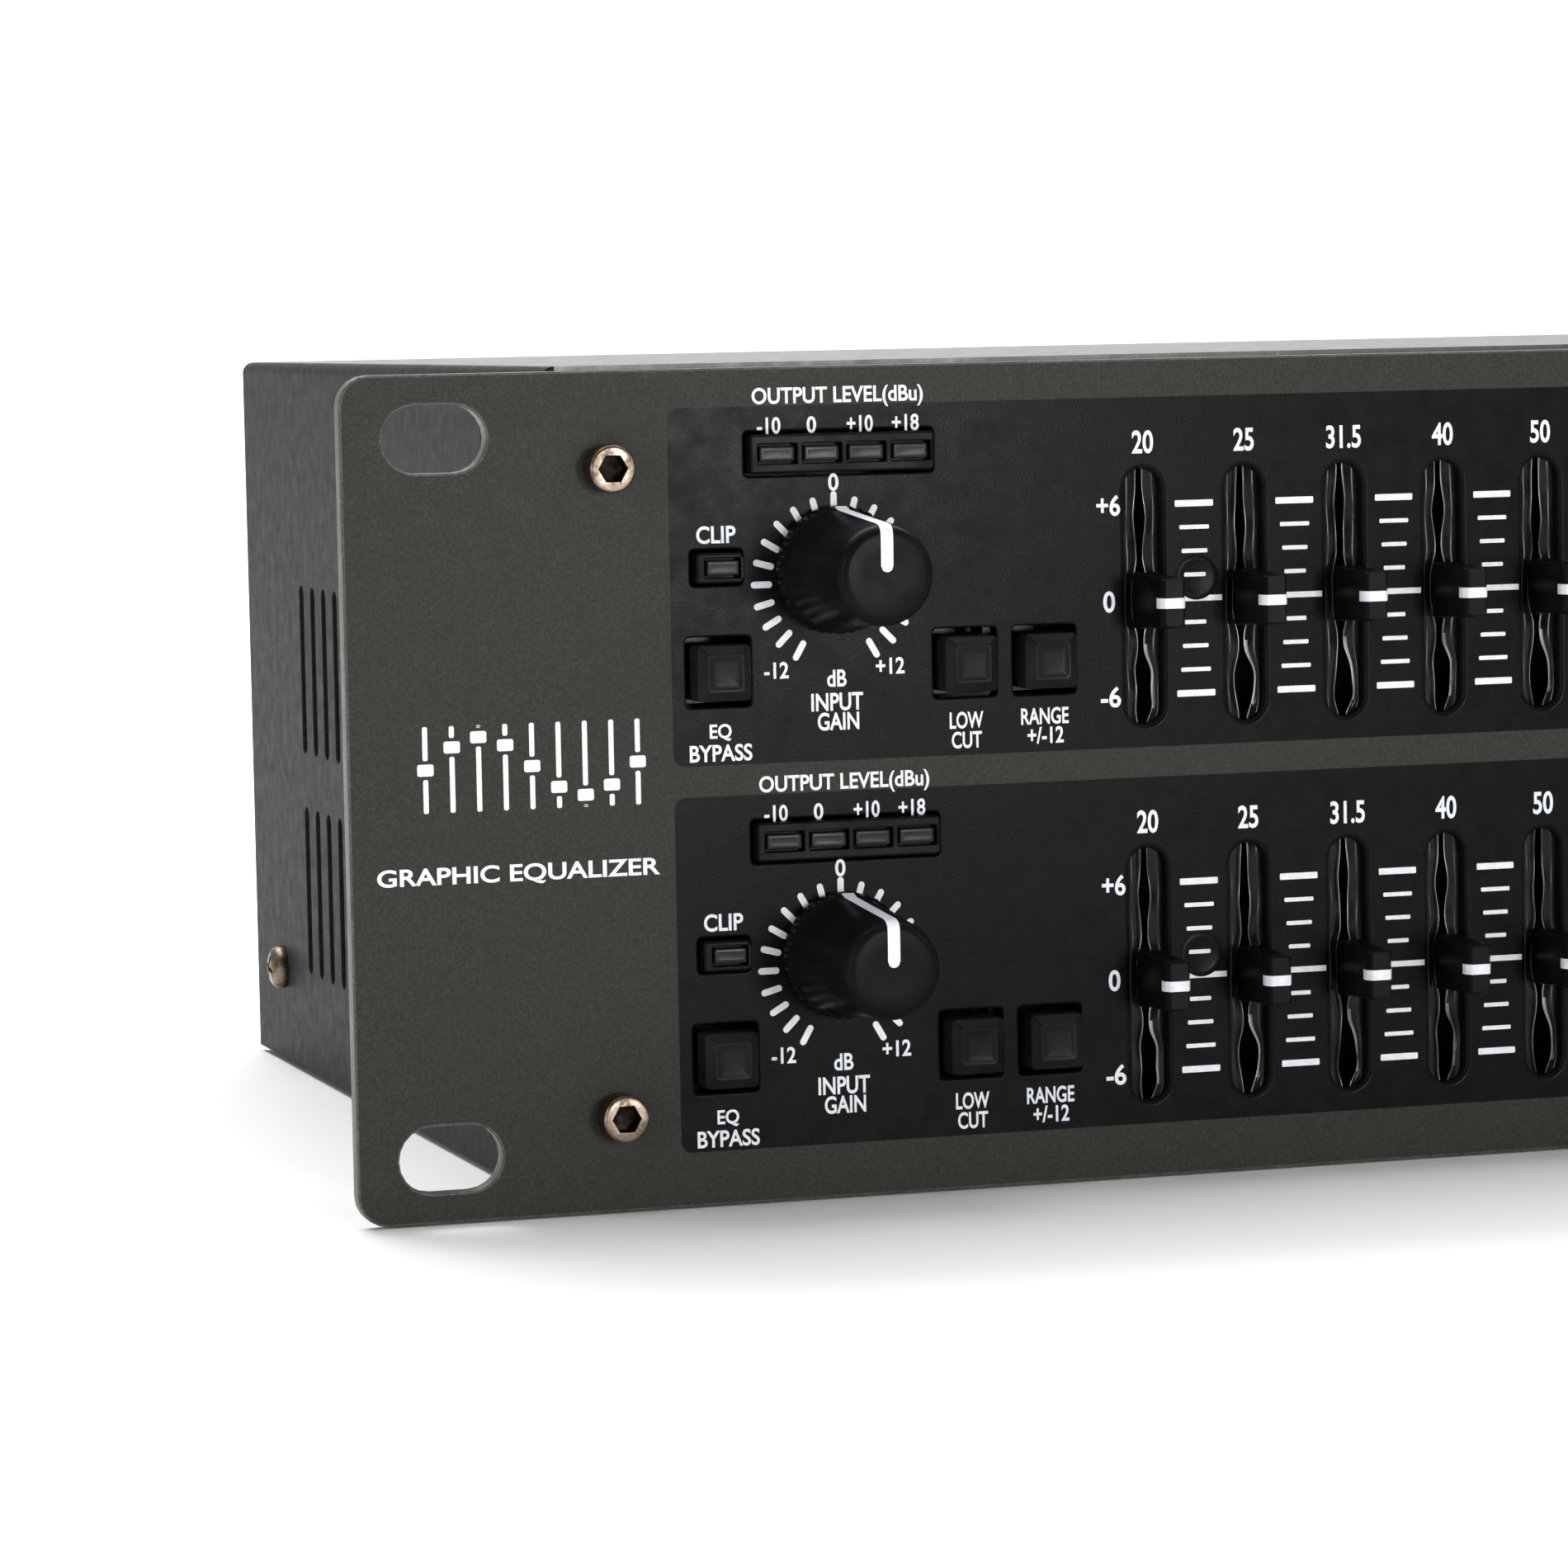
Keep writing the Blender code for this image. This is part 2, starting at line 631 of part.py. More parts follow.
def make_main_board():
    """The power and filter board on its stand-offs, with its capacitors and regulator heat sink."""
    low, high = (-195.0, depth(34), 8.0), (95.0, depth(118), 9.6)
    bm = bmesh.new()
    add_box(bm, low, high)
    board = add_piece("main_board", bm, circuit_board())
    parts = bmesh.new()
    for x in (-185, -50, 85):
        for y in (depth(42), depth(110)):
            add_prism(parts, circle((x, y), 3.0, 8), [], CASE_BOTTOM + TRAY_SHEET + GAP, 9.0, "Z")
    for x in (60, 80):
        add_prism(parts, circle((x, depth(76)), 8.0, 14), [], 9.0, 34.0, "Z")
    for i in range(5):
        left = -175 + i * 34
        add_box(parts, (left, depth(66), 9.0), (left + 20, depth(73), 13.0))
    add_box(parts, (20, depth(60), 9.0), (45, depth(64), 36.0))
    combine(board, parts, "UNION")


def make_transformer():
    """The mains transformer: a winding through a laminated core, on mounting feet."""
    low, high = (120.0, depth(60), 10.0), (176.0, depth(94), 58.0)
    bm = bmesh.new()
    add_box(bm, low, high)
    core = add_piece("mains_transformer", bm, steel_core())
    parts = bmesh.new()
    add_box(parts, (130.0, depth(52), 18.0), (166.0, depth(102), 50.0))
    add_box(parts, (112.0, depth(66), 2.0), (184.0, depth(88), 11.0))
    combine(core, parts, "UNION")


def make_mains_inlet():
    """The three-pin mains inlet: a flange outside the rear wall and a body inside, open to the rear."""
    centre = (INLET_X, REAR_Z)
    outer = depth(REAR_WALL + GAP)
    bm = bmesh.new()
    add_prism(bm, rectangle(centre, INLET_FLANGE, 2.0, 3), [], outer, outer + 2.0)
    inlet = add_piece("mains_inlet", bm, black_plastic())
    body = bmesh.new()
    add_prism(body, rectangle(centre, INLET_BODY), [], depth(REAR_WALL - 24), outer + 1.0)
    combine(inlet, body, "UNION")
    cavity = bmesh.new()
    add_prism(cavity, rectangle(centre, INLET_CAVITY, 2.0, 2), [], depth(REAR_WALL - 14), outer + 4)
    combine(inlet, cavity, "DIFFERENCE")


def make_power_switch():
    """The rocker switch's fixed frame, and its rocker, which tips about a crosswise axis."""
    centre = (ROCKER_X, REAR_Z)
    outer = depth(REAR_WALL + GAP)
    bm = bmesh.new()
    add_prism(bm, rectangle(centre, ROCKER_FRAME, 1.0, 2), [], outer, outer + 1.6)
    frame = add_piece("power_switch_frame", bm, black_plastic())
    body = bmesh.new()
    add_prism(body, rectangle(centre, ROCKER_BODY), [], depth(REAR_WALL - 14), outer + 0.8)
    combine(frame, body, "UNION")
    pocket = bmesh.new()
    add_prism(pocket, rectangle(centre, ROCKER_WINDOW), [], depth(REAR_WALL - 9), outer + 4)
    combine(frame, pocket, "DIFFERENCE")
    pivot = (ROCKER_X, depth(REAR_WALL - 1.5), REAR_Z)
    half_x = ROCKER_WINDOW[0] / 2 - 0.5
    section = [(-4.2, 1.2), (-4.0, 2.3), (0, 2.8), (4.0, 3.8)]
    section += [(4.3, 2.6), (4.0, -0.6), (1.5, -4.5), (-1.5, -4.5)]
    outline = [(pivot[1] + y, pivot[2] + z) for z, y in section]
    rocker = bmesh.new()
    add_prism(rocker, outline, [], ROCKER_X - half_x, ROCKER_X + half_x, "X")
    add_piece("power_rocker", rocker, black_plastic(), pivot)


def make_socket_board(number, places):
    """One channel's rear sockets on their board: an output XLR, an input XLR and two jacks."""
    board_front, wall = depth(SOCKET_BOARD_DEPTH), depth(REAR_WALL)
    xs = [places["male"], places["female"], *places["jacks"]]
    bm = bmesh.new()
    left, right, half_height = SOCKET_BOARD_MARGINS
    add_box(
        bm,
        (min(xs) - left, board_front, REAR_Z - half_height),
        (max(xs) + right, board_front + BOARD_THICKNESS, REAR_Z + half_height),
    )
    board = add_piece(f"socket_board_{number}", bm, black_plastic())
    root = board_front + BOARD_THICKNESS / 2
    jack_end = depth(CASE_DEPTH + JACK_REACH)
    sockets = bmesh.new()
    for key in ("male", "female"):
        add_prism(sockets, circle((places[key], REAR_Z), XLR_RADIUS, 24), [], root, wall + XLR_RIM)
    for x in places["jacks"]:
        add_prism(sockets, circle((x, REAR_Z), JACK_RADIUS, 16), [], root, jack_end)
    combine(board, sockets, "UNION")
    bores = bmesh.new()
    male = (places["male"], REAR_Z)
    add_prism(bores, circle(male, XLR_CAVITY_RADIUS, 20), [], wall - XLR_DEPTH, wall + XLR_RIM + 1)
    for angle in (90, 210, 330):
        pin = arc((places["female"], REAR_Z), XLR_PIN_CIRCLE, angle, angle, 1)[0]
        add_prism(bores, circle(pin, XLR_PIN_HOLE, 8), [], wall - XLR_DEPTH, wall + XLR_RIM + 1)
    for x in places["jacks"]:
        add_prism(bores, circle((x, REAR_Z), JACK_BORE_RADIUS, 16), [], wall - JACK_DEPTH, jack_end + 1)
    combine(board, bores, "DIFFERENCE")


def make_channel(number, z):
    """Everything that repeats for each of the two channels."""
    make_channel_board(number, z)
    make_gain_knob(number, z)
    for name, x in BUTTONS:
        make_button(f"{name}_{number}", x, z)
    make_light_block(f"level_meter_{number}", (across(METER_X), z + METER_RISE), METER_WINDOW)
    make_light_block(f"clip_lamp_{number}", (across(CLIP_X), z + CLIP_RISE), CLIP_WINDOW)
    make_faders(number, z)


def main():
    for item in list(bpy.data.objects):
        bpy.data.objects.remove(item)
    make_front_panel()
    make_top_cover()
    make_chassis_tray()
    for number, z in enumerate(CHANNEL_Z, 1):
        make_channel(number, z)
    for number, place in enumerate(bolt_places(), 1):
        make_panel_bolt(number, place)
    make_side_screw("side_screw_left", -1)
    make_side_screw("side_screw_right", 1)
    make_main_board()
    make_transformer()
    make_mains_inlet()
    make_power_switch()
    for number, places in enumerate(socket_places(), 1):
        make_socket_board(number, places)


main()
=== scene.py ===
"""Looks of the two-channel graphic equalizer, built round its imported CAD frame.

Lengths are in millimetres and are scaled to metres as each mesh is made. Places on the panel are given as the
distance from its left end, the depth behind its front face and the height above its lower edge; places that
repeat for each channel are heights above that channel's fader zero.
"""

import math

import bmesh
import bpy
from mathutils import Matrix, Vector


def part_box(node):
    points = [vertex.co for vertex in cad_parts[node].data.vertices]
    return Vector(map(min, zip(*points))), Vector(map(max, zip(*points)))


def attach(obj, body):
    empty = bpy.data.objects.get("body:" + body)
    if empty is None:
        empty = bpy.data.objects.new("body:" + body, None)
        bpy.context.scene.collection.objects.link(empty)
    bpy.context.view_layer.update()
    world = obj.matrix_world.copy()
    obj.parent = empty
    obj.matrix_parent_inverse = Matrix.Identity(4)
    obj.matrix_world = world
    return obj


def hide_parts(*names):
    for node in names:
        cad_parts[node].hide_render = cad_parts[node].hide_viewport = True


MM = 0.001
SEWN = 0.0005
SHELF = 0.04  # a flat strip round each rim, which keeps the plate's own shading flat

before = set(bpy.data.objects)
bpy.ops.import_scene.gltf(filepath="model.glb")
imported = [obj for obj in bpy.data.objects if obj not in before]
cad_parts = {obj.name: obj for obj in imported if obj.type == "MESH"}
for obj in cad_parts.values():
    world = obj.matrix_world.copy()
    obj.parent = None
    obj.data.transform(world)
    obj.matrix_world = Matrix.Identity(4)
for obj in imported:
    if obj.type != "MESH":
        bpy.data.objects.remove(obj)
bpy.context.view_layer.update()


def node_box(name):
    """A CAD node's box in millimetres."""
    low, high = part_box(name)
    return low / MM, high / MM


def node_middle(name):
    low, high = node_box(name)
    return (low + high) / 2


def face_middle(low, high):
    """The middle of a box as seen from the front, as (x, z)."""
    return ((low.x + high.x) / 2, (low.z + high.z) / 2)


def face_size(low, high):
    return (high.x - low.x, high.z - low.z)


# Where the CAD frame puts things
PANEL_LOW, PANEL_HIGH = node_box("front_panel")
LEFT, FACE = PANEL_LOW.x, PANEL_LOW.y
PANEL_WIDTH, PANEL_HEIGHT = PANEL_HIGH.x - PANEL_LOW.x, PANEL_HIGH.z - PANEL_LOW.z
PANEL_BACK = PANEL_HIGH.y - FACE
CASE_LOW, CASE_HIGH = node_box("top_cover")
CHANNELS = (1, 2)
ZERO = {n: node_middle(f"fader_{n}_band_01").z for n in CHANNELS}
FIRST_FADER = node_middle("fader_1_band_01").x - LEFT
PITCH = node_middle("fader_1_band_02").x - LEFT - FIRST_FADER
BANDS = 31
KNOB_X = node_middle("gain_knob_1").x - LEFT
KNOB_RISE = node_middle("gain_knob_1").z - ZERO[1]
BUTTONS = ("eq_bypass_button", "low_cut_button", "range_button")

# Panel
PANEL_CORNER = 3.2
PANEL_RIM = 0.2
RACK_SLOT = (11.1, 7.0)
RACK_SLOT_INSET = 10.0
RACK_SLOT_OFFSET = 37.35
FIELD_X = (34.9, 447.7)
FIELD_RISE = (-15.8, 21.7)
FIELD_CORNER = 1.2
FADER_SLOT = (4.3, 27.4)
FADER_SLOT_RISE = 0.35
FADER_SLOT_RIM = 0.55
WINDOW_RIM = 0.22
WINDOW_CORNER = 0.45
METER_WINDOW = (20.9, 4.7)
CLIP_WINDOW = (5.7, 3.8)
BUTTON_HOLE = (7.1, 7.4)
SHAFT_HOLE = 4.0
BOLT_HOLE = 2.0
STUD_PLACE = (0.2, 2.2)  # from the middle between two faders, and above the fader zero
PRINT_LAYER = 0.03
MARK_LIFT = 0.07  # how far a line printed on a control stands off it

# Cover
COVER_SHEET = 1.0
COVER_BEND = 1.4
VENT = (2.2, 20.8)
VENT_PITCH = 6.05
VENT_COUNT = 12
VENT_REAR = 119.0
VENT_ROWS = (23.3, 50.8)

# Dial and scale
DIAL_RISE = 3.0
DIAL_RADIUS = 9.3
DIAL_STEP = 15
DIAL_END = 150
TICK = (2.35, 0.7)
TOP_TICK_EXTRA = 0.3
SCALE_STEP = 2.552
SCALE_LENGTHS = (2.5, 2.95, 3.4, 4.4)
SCALE_THICK, SCALE_END_THICK, ZERO_LINE_THICK = 0.45, 0.7, 0.62
FREQUENCIES = (
    "20 25 31.5 40 50 63 80 100 125 160 200 250 315 400 500 630 800 "
    "1K 1.25K 1.6K 2K 2.5K 3.15K 4K 5K 6.3K 8K 10K 12.5K 16K 20K"
).split()
FREQUENCY_RISE = 16.9
FREQUENCY_HEIGHT = 2.5

# Legends of one channel: words, middle from the panel's left end, rise, width, height
LEGENDS = (
    ("OUTPUT LEVEL(dBu)", 53.65, 22.5, 18.9, 2.25),
    ("-10", 46.0, 19.65, 2.6, 1.75),
    ("0", 50.7, 19.65, 1.05, 1.75),
    ("+10", 56.05, 19.65, 2.9, 1.75),
    ("+18", 61.1, 19.65, 3.0, 1.75),
    ("0", 53.0, 13.55, 1.15, 1.85),
    ("CLIP", 40.0, 8.4, 4.3, 1.85),
    ("EQ", 40.1, -12.35, 2.4, 1.8),
    ("BYPASS", 40.1, -14.5, 6.85, 1.8),
    ("-12", 46.35, -6.05, 2.7, 1.75),
    ("+12", 58.95, -6.0, 3.2, 1.75),
    ("dB", 53.0, -7.1, 2.15, 1.8),
    ("INPUT", 53.0, -9.6, 5.75, 1.9),
    ("GAIN", 53.1, -11.65, 4.6, 1.9),
    ("LOW", 67.4, -12.1, 3.8, 1.8),
    ("CUT", 67.4, -14.2, 3.4, 1.8),
    ("RANGE", 76.25, -12.0, 5.4, 1.8),
    ("+/-12", 76.3, -14.05, 4.1, 1.8),
    ("+6", 83.8, 10.2, 2.7, 2.25),
    ("0", 83.75, -0.1, 1.35, 2.3),
    ("-6", 83.8, -10.3, 2.3, 2.25),
)
LETTER_CONDENSE = 0.74
LETTER_WEIGHT = 0.022
TITLE = ("GRAPHIC EQUALIZER", 18.0, 36.1, 30.4, 2.15)

# Generic mark: a row of slider strokes whose blocks follow a gentle curve
MARK_X = (8.2, 31.0)
MARK_Z = (42.8, 51.8)
MARK_STROKES = 9
MARK_STROKE = 0.55
MARK_BLOCK = (1.75, 1.25)

# Camera: in front of the left end, turned a little to the right and tipped slightly down
CAMERA_PLACE = (-0.37325, -0.64048, 0.09392)
CAMERA_AZIMUTH = 17.34
CAMERA_ELEVATION = -4.73
CAMERA_ROLL = -1.0925
CAMERA_LENS = 131.348


def across(distance):
    return LEFT + distance


def depth(distance):
    return FACE + distance


def fader_x(band):
    return FIRST_FADER + band * PITCH


# ---------------------------------------------------------------- outlines


def arc(centre, radius, start, end, steps):
    angles = (math.radians(start + (end - start) * i / steps) for i in range(steps + 1))
    return [(centre[0] + radius * math.cos(a), centre[1] + radius * math.sin(a)) for a in angles]


def rectangle(centre, size, corner=0.0, steps=5):
    half_w, half_h = size[0] / 2 - corner, size[1] / 2 - corner
    points = []
    for sx, sy, start in ((1, 1, 0), (-1, 1, 90), (-1, -1, 180), (1, -1, 270)):
        middle = (centre[0] + sx * half_w, centre[1] + sy * half_h)
        points += arc(middle, corner, start, start + 90, steps) if corner > 0 else [middle]
    return points


def circle(centre, radius, steps=32):
    return arc(centre, radius, 0, 360, steps)[:-1]


def obround(centre, size, steps=10):
    radius = min(size) / 2
    run = max(size) / 2 - radius
    lying = size[0] > size[1]
    run_x, run_y, turn = (run, 0, 90) if lying else (0, run, 0)
    first = arc((centre[0] - run_x, centre[1] + run_y), radius, turn, turn + 180, steps)
    second = arc((centre[0] + run_x, centre[1] - run_y), radius, turn + 180, turn + 360, steps)
    return first + second


def growing_rectangle(centre, size, corner):
    """An outline as a function of how far it is grown, so that a rim can be rounded over."""
    return lambda grow: rectangle(centre, (size[0] + 2 * grow, size[1] + 2 * grow), corner + grow)


def growing_obround(centre, size):
    return lambda grow: obround(centre, (size[0] + 2 * grow, size[1] + 2 * grow))


def growing_circle(centre, radius):
    return lambda grow: circle(centre, radius + grow)


# ---------------------------------------------------------------- mesh building

PLACES = {
    "X": lambda p, level: (level, p[0], p[1]),
    "Y": lambda p, level: (p[0], level, p[1]),
}


def placed(points, level, axis="Y"):
    """An outline's points in space, on the plane at this level across the axis."""
    return [PLACES[axis](p, level) for p in points]


def add_face(bm, points, index=0):
    bm.faces.new([bm.verts.new(p) for p in points]).material_index = index


def add_fill(bm, loops, level, axis="Y", index=0):
    """A flat face with holes."""
    edges = []
    for loop in loops:
        points = [bm.verts.new(p) for p in placed(loop, level, axis)]
        edges += [bm.edges.new((points[i - 1], points[i])) for i in range(len(points))]
    made = bmesh.ops.triangle_fill(bm, use_beauty=False, use_dissolve=False, edges=edges)["geom"]
    for item in made:
        if isinstance(item, bmesh.types.BMFace):
            item.material_index = index


def add_rings(bm, rings, index=0, close=(False, False)):
    """Skins rings of equal length with quads, and closes either end on request."""
    skins = [[bm.verts.new(p) for p in ring] for ring in rings]
    for near, far in zip(skins, skins[1:]):
        for i in range(len(near)):
            bm.faces.new((near[i - 1], near[i], far[i], far[i - 1])).material_index = index
    for ring, wanted in ((skins[0], close[0]), (skins[-1], close[1])):
        if wanted:
            bm.faces.new(ring).material_index = index


def add_rim(bm, outline, rim, near, far, axis="Y", index=0, outward=1, steps=4):
    """The wall of an opening, its near edge rounded over by rim. outward is -1 for a plate's outer edge."""
    towards = math.copysign(1, far - near)
    rings = [placed(outline(outward * (rim + SHELF)), near, axis)]
    for k in range(steps + 1):
        angle = math.pi / 2 * k / steps
        grow = outward * rim * (1 - math.sin(angle))
        level = near + towards * rim * (1 - math.cos(angle))
        rings.append(placed(outline(grow), level, axis))
    rings.append(placed(outline(0), far, axis))
    add_rings(bm, rings, index)


def add_plate(bm, outline, rim, openings, near, far, axis="Y", index=0):
    """A plate rounded over at its near face, with openings given as (outline, rim) pairs."""
    holes = [shape(edge + SHELF) for shape, edge in openings]
    add_fill(bm, [outline(-rim - SHELF)] + holes, near, axis, index)
    add_rim(bm, outline, rim, near, far, axis, index, outward=-1)
    for shape, edge in openings:
        add_rim(bm, shape, edge, near, far, axis, index)
    add_fill(bm, [outline(0)] + [shape(0) for shape, edge in openings], far, axis, index)


def add_loft(bm, centre, sections, index=0, steps=3):
    """Rounded rectangles (level, width, height, corner) about (x, z), closed at both ends."""
    rings = [
        placed(rectangle(centre, (width, height), corner, steps), level)
        for level, width, height, corner in sections
    ]
    add_rings(bm, rings, index, (True, True))


def add_grid(bm, rows):
    """Skins an open sheet, given as equal rows of points."""
    grid = [[bm.verts.new(p) for p in row] for row in rows]
    for near, far in zip(grid, grid[1:]):
        for i in range(len(near) - 1):
            bm.faces.new((near[i], near[i + 1], far[i + 1], far[i]))


def add_turned(bm, centre, profile, steps, axis="Y", index=0):
    """A closed profile of (level, radius) turned about an axis."""
    rings = [placed(circle(centre, max(radius, SEWN / 4), steps), level, axis) for level, radius in profile]
    add_rings(bm, rings, index, (True, True))


def link_mesh(name, bm):
    """Makes an object of the scene out of a finished bmesh."""
    mesh = bpy.data.meshes.new(name)
    bm.to_mesh(mesh)
    bm.free()
    item = bpy.data.objects.new(name, mesh)
    bpy.context.scene.collection.objects.link(item)
    return item


def finish_mesh(name, bm, body, materials, smooth=35, replaces=()):
    """Sews the mesh, scales it to metres and lets it ride on its CAD body."""
    bmesh.ops.remove_doubles(bm, verts=bm.verts, dist=SEWN)
    bmesh.ops.recalc_face_normals(bm, faces=bm.faces)
    bm.transform(Matrix.Scale(MM, 4))
    item = link_mesh(name, bm)
    for surface in materials:
        item.data.materials.append(surface)
    if smooth:
        item.data.shade_smooth()
        item.data.set_sharp_from_angle(angle=math.radians(smooth))
    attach(item, body)
    if replaces:
        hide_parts(*replaces)
    return item


# ---------------------------------------------------------------- materials


class Nodes:
    """A short way to write a node tree."""

    def __init__(self, name):
        self.material = bpy.data.materials.new(name)
        self.material.use_nodes = True
        self.tree = self.material.node_tree
        self.shader = self.tree.nodes["Principled BSDF"]
        self.place = self.tree.nodes.new("ShaderNodeTexCoord").outputs["Object"]

    def noise(self, scale, detail=3.0, rough=0.5, stretch=None):
        place = self.place
        if stretch:
            mapping = self.tree.nodes.new("ShaderNodeMapping")
            mapping.inputs["Scale"].default_value = stretch
            self.tree.links.new(place, mapping.inputs["Vector"])
            place = mapping.outputs["Vector"]
        node = self.tree.nodes.new("ShaderNodeTexNoise")
        node.inputs["Scale"].default_value = scale
        node.inputs["Detail"].default_value = detail
        node.inputs["Roughness"].default_value = rough
        self.tree.links.new(place, node.inputs["Vector"])
        return node.outputs["Fac"]

    def span(self, value, low, high, to_low, to_high):
        node = self.tree.nodes.new("ShaderNodeMapRange")
        for key, number in (("From Min", low), ("From Max", high), ("To Min", to_low), ("To Max", to_high)):
            node.inputs[key].default_value = number
        self.tree.links.new(value, node.inputs["Value"])
        return node.outputs["Result"]

    def mix(self, factor, first, second):
        node = self.tree.nodes.new("ShaderNodeMix")
        node.data_type = "RGBA"
        self.tree.links.new(factor, node.inputs["Factor"])
        for socket, colour in ((node.inputs[6], first), (node.inputs[7], second)):
            if isinstance(colour, tuple):
                socket.default_value = (*colour, 1.0)
            else:
                self.tree.links.new(colour, socket)
        return node.outputs[2]

    def bump(self, height, strength, distance, below=None):
        node = self.tree.nodes.new("ShaderNodeBump")
        node.inputs["Strength"].default_value = strength
        node.inputs["Distance"].default_value = distance
        self.tree.links.new(height, node.inputs["Height"])
        if below:
            self.tree.links.new(below, node.inputs["Normal"])
        return node.outputs["Normal"]

    def join(self, socket, value):
        if isinstance(value, (int, float)):
            self.shader.inputs[socket].default_value = value
        else:
            self.tree.links.new(value, self.shader.inputs[socket])


def powder_paint(name, dark, light, roughness, grain=0.32, strength=0.35, specular=0.5):
    """Baked powder paint: fine orange-peel grain, soft mottling and small pale specks."""
    nodes = Nodes(name)
    mottle = nodes.span(nodes.noise(420, 4), 0.35, 0.65, 0, 1)
    specks = nodes.span(nodes.noise(1000 / grain * 0.9, 2, 0.6), 0.42, 0.7, 0, 0.6)
    body = nodes.mix(mottle, dark, light)
    nodes.join("Base Color", nodes.mix(specks, body, tuple(min(1, c * 1.7) for c in light)))
    peel = nodes.noise(1000 / grain, 2, 0.55)
    wave = nodes.noise(260, 2)
    nodes.join("Roughness", nodes.span(nodes.noise(420, 3), 0.3, 0.7, roughness - 0.06, roughness + 0.06))
    nodes.join("Normal", nodes.bump(peel, strength, 0.00006, nodes.bump(wave, 0.04, 0.0002)))
    nodes.join("Specular IOR Level", specular)
    return nodes.material


def moulded_plastic(name, dark, light, roughness, grain=0.12, strength=0.2, coat=0.0, specular=0.5):
    """Moulded plastic: very fine tool texture, faint flow clouds and handling polish."""
    nodes = Nodes(name)
    clouds = nodes.span(nodes.noise(160, 3), 0.35, 0.65, 0, 1)
    nodes.join("Base Color", nodes.mix(clouds, dark, light))
    nodes.join("Roughness", nodes.span(nodes.noise(300, 4), 0.3, 0.7, roughness - 0.07, roughness + 0.07))
    nodes.join("Normal", nodes.bump(nodes.noise(1000 / grain, 2), strength, 0.00003))
    nodes.join("Coat Weight", coat)
    nodes.join("Coat Roughness", 0.15)
    nodes.join("Specular IOR Level", specular)
    return nodes.material


def worn_metal(name, dark, light, roughness, scratch=(1, 1, 1), grain=900):
    """Plated metal: cloudy plating, fine scratches and rubbed spots."""
    nodes = Nodes(name)
    clouds = nodes.span(nodes.noise(650, 4, 0.6), 0.38, 0.62, 0, 1)
    rubs = nodes.span(nodes.noise(2300, 3, 0.7), 0.55, 0.7, 0, 0.7)
    body = nodes.mix(clouds, dark, light)
    nodes.join("Base Color", nodes.mix(rubs, body, tuple(min(1, c * 1.35) for c in light)))
    nodes.join("Metallic", 1.0)
    nodes.join("Roughness", nodes.span(clouds, 0, 1, roughness + 0.1, roughness - 0.08))
    nodes.join("Normal", nodes.bump(nodes.noise(grain, 5, 0.6, scratch), 0.35, 0.00005))
    return nodes.material


def seal_film():
    """Shiny black rubbery film with slight ripples."""
    nodes = Nodes("seal_film")
    clouds = nodes.span(nodes.noise(240, 3), 0.35, 0.65, 0, 1)
    nodes.join("Base Color", nodes.mix(clouds, (0.004, 0.004, 0.0045), (0.012, 0.0105, 0.0105)))
    nodes.join("Roughness", nodes.span(nodes.noise(500, 3), 0.3, 0.7, 0.12, 0.24))
    ripple = nodes.noise(330, 2, 0.4, (1, 1, 0.35))
    nodes.join("Normal", nodes.bump(ripple, 0.3, 0.0004))
    nodes.join("Specular IOR Level", 0.14)
    return nodes.material


def printed_ink(name, dark, light):
    """Screen-printed ink with a little patchiness at the scale of the mesh."""
    nodes = Nodes(name)
    patches = nodes.span(nodes.noise(1900, 4, 0.65), 0.35, 0.7, 0, 1)
    nodes.join("Base Color", nodes.mix(patches, dark, light))
    nodes.join("Roughness", nodes.span(nodes.noise(900, 3), 0.3, 0.7, 0.38, 0.52))
    nodes.join("Normal", nodes.bump(nodes.noise(4200, 2), 0.15, 0.00003))
    return nodes.material


def solder_mask():
    """Black circuit board whose tracks stand out slightly."""
    nodes = Nodes("solder_mask")
    tracks = nodes.span(nodes.noise(420, 1, 0.2, (1, 1, 4)), 0.5, 0.53, 0, 1)
    nodes.join("Base Color", nodes.mix(tracks, (0.004, 0.0045, 0.0045), (0.009, 0.01, 0.0095)))
    nodes.join("Roughness", 0.35)
    nodes.join("Normal", nodes.bump(tracks, 0.3, 0.00008))
    return nodes.material


PANEL_PAINT = powder_paint(
    "panel_paint_satin", (0.027, 0.028, 0.0235), (0.032, 0.0325, 0.028), 0.42, specular=0.06
)
# The panel's outer edge and the walls of its rack slots and bolt holes are painted lighter: a painted highlight
# where the edges catch the light.
PANEL_EDGE_HIGHLIGHT = powder_paint("panel_edge_painted_highlight", (0.045, 0.047, 0.042), (0.075, 0.078, 0.07), 0.35, specular=0.2)
FIELD_INK = powder_paint(
    "field_ink", (0.0045, 0.0045, 0.0051), (0.0058, 0.0058, 0.0064), 0.27,
    grain=0.25, strength=0.2, specular=0.04,
)
CASE_PAINT = powder_paint(
    "case_paint_grained", (0.014, 0.0138, 0.015), (0.0185, 0.0182, 0.0198), 0.42,
    grain=0.45, strength=0.5, specular=0.02,
)
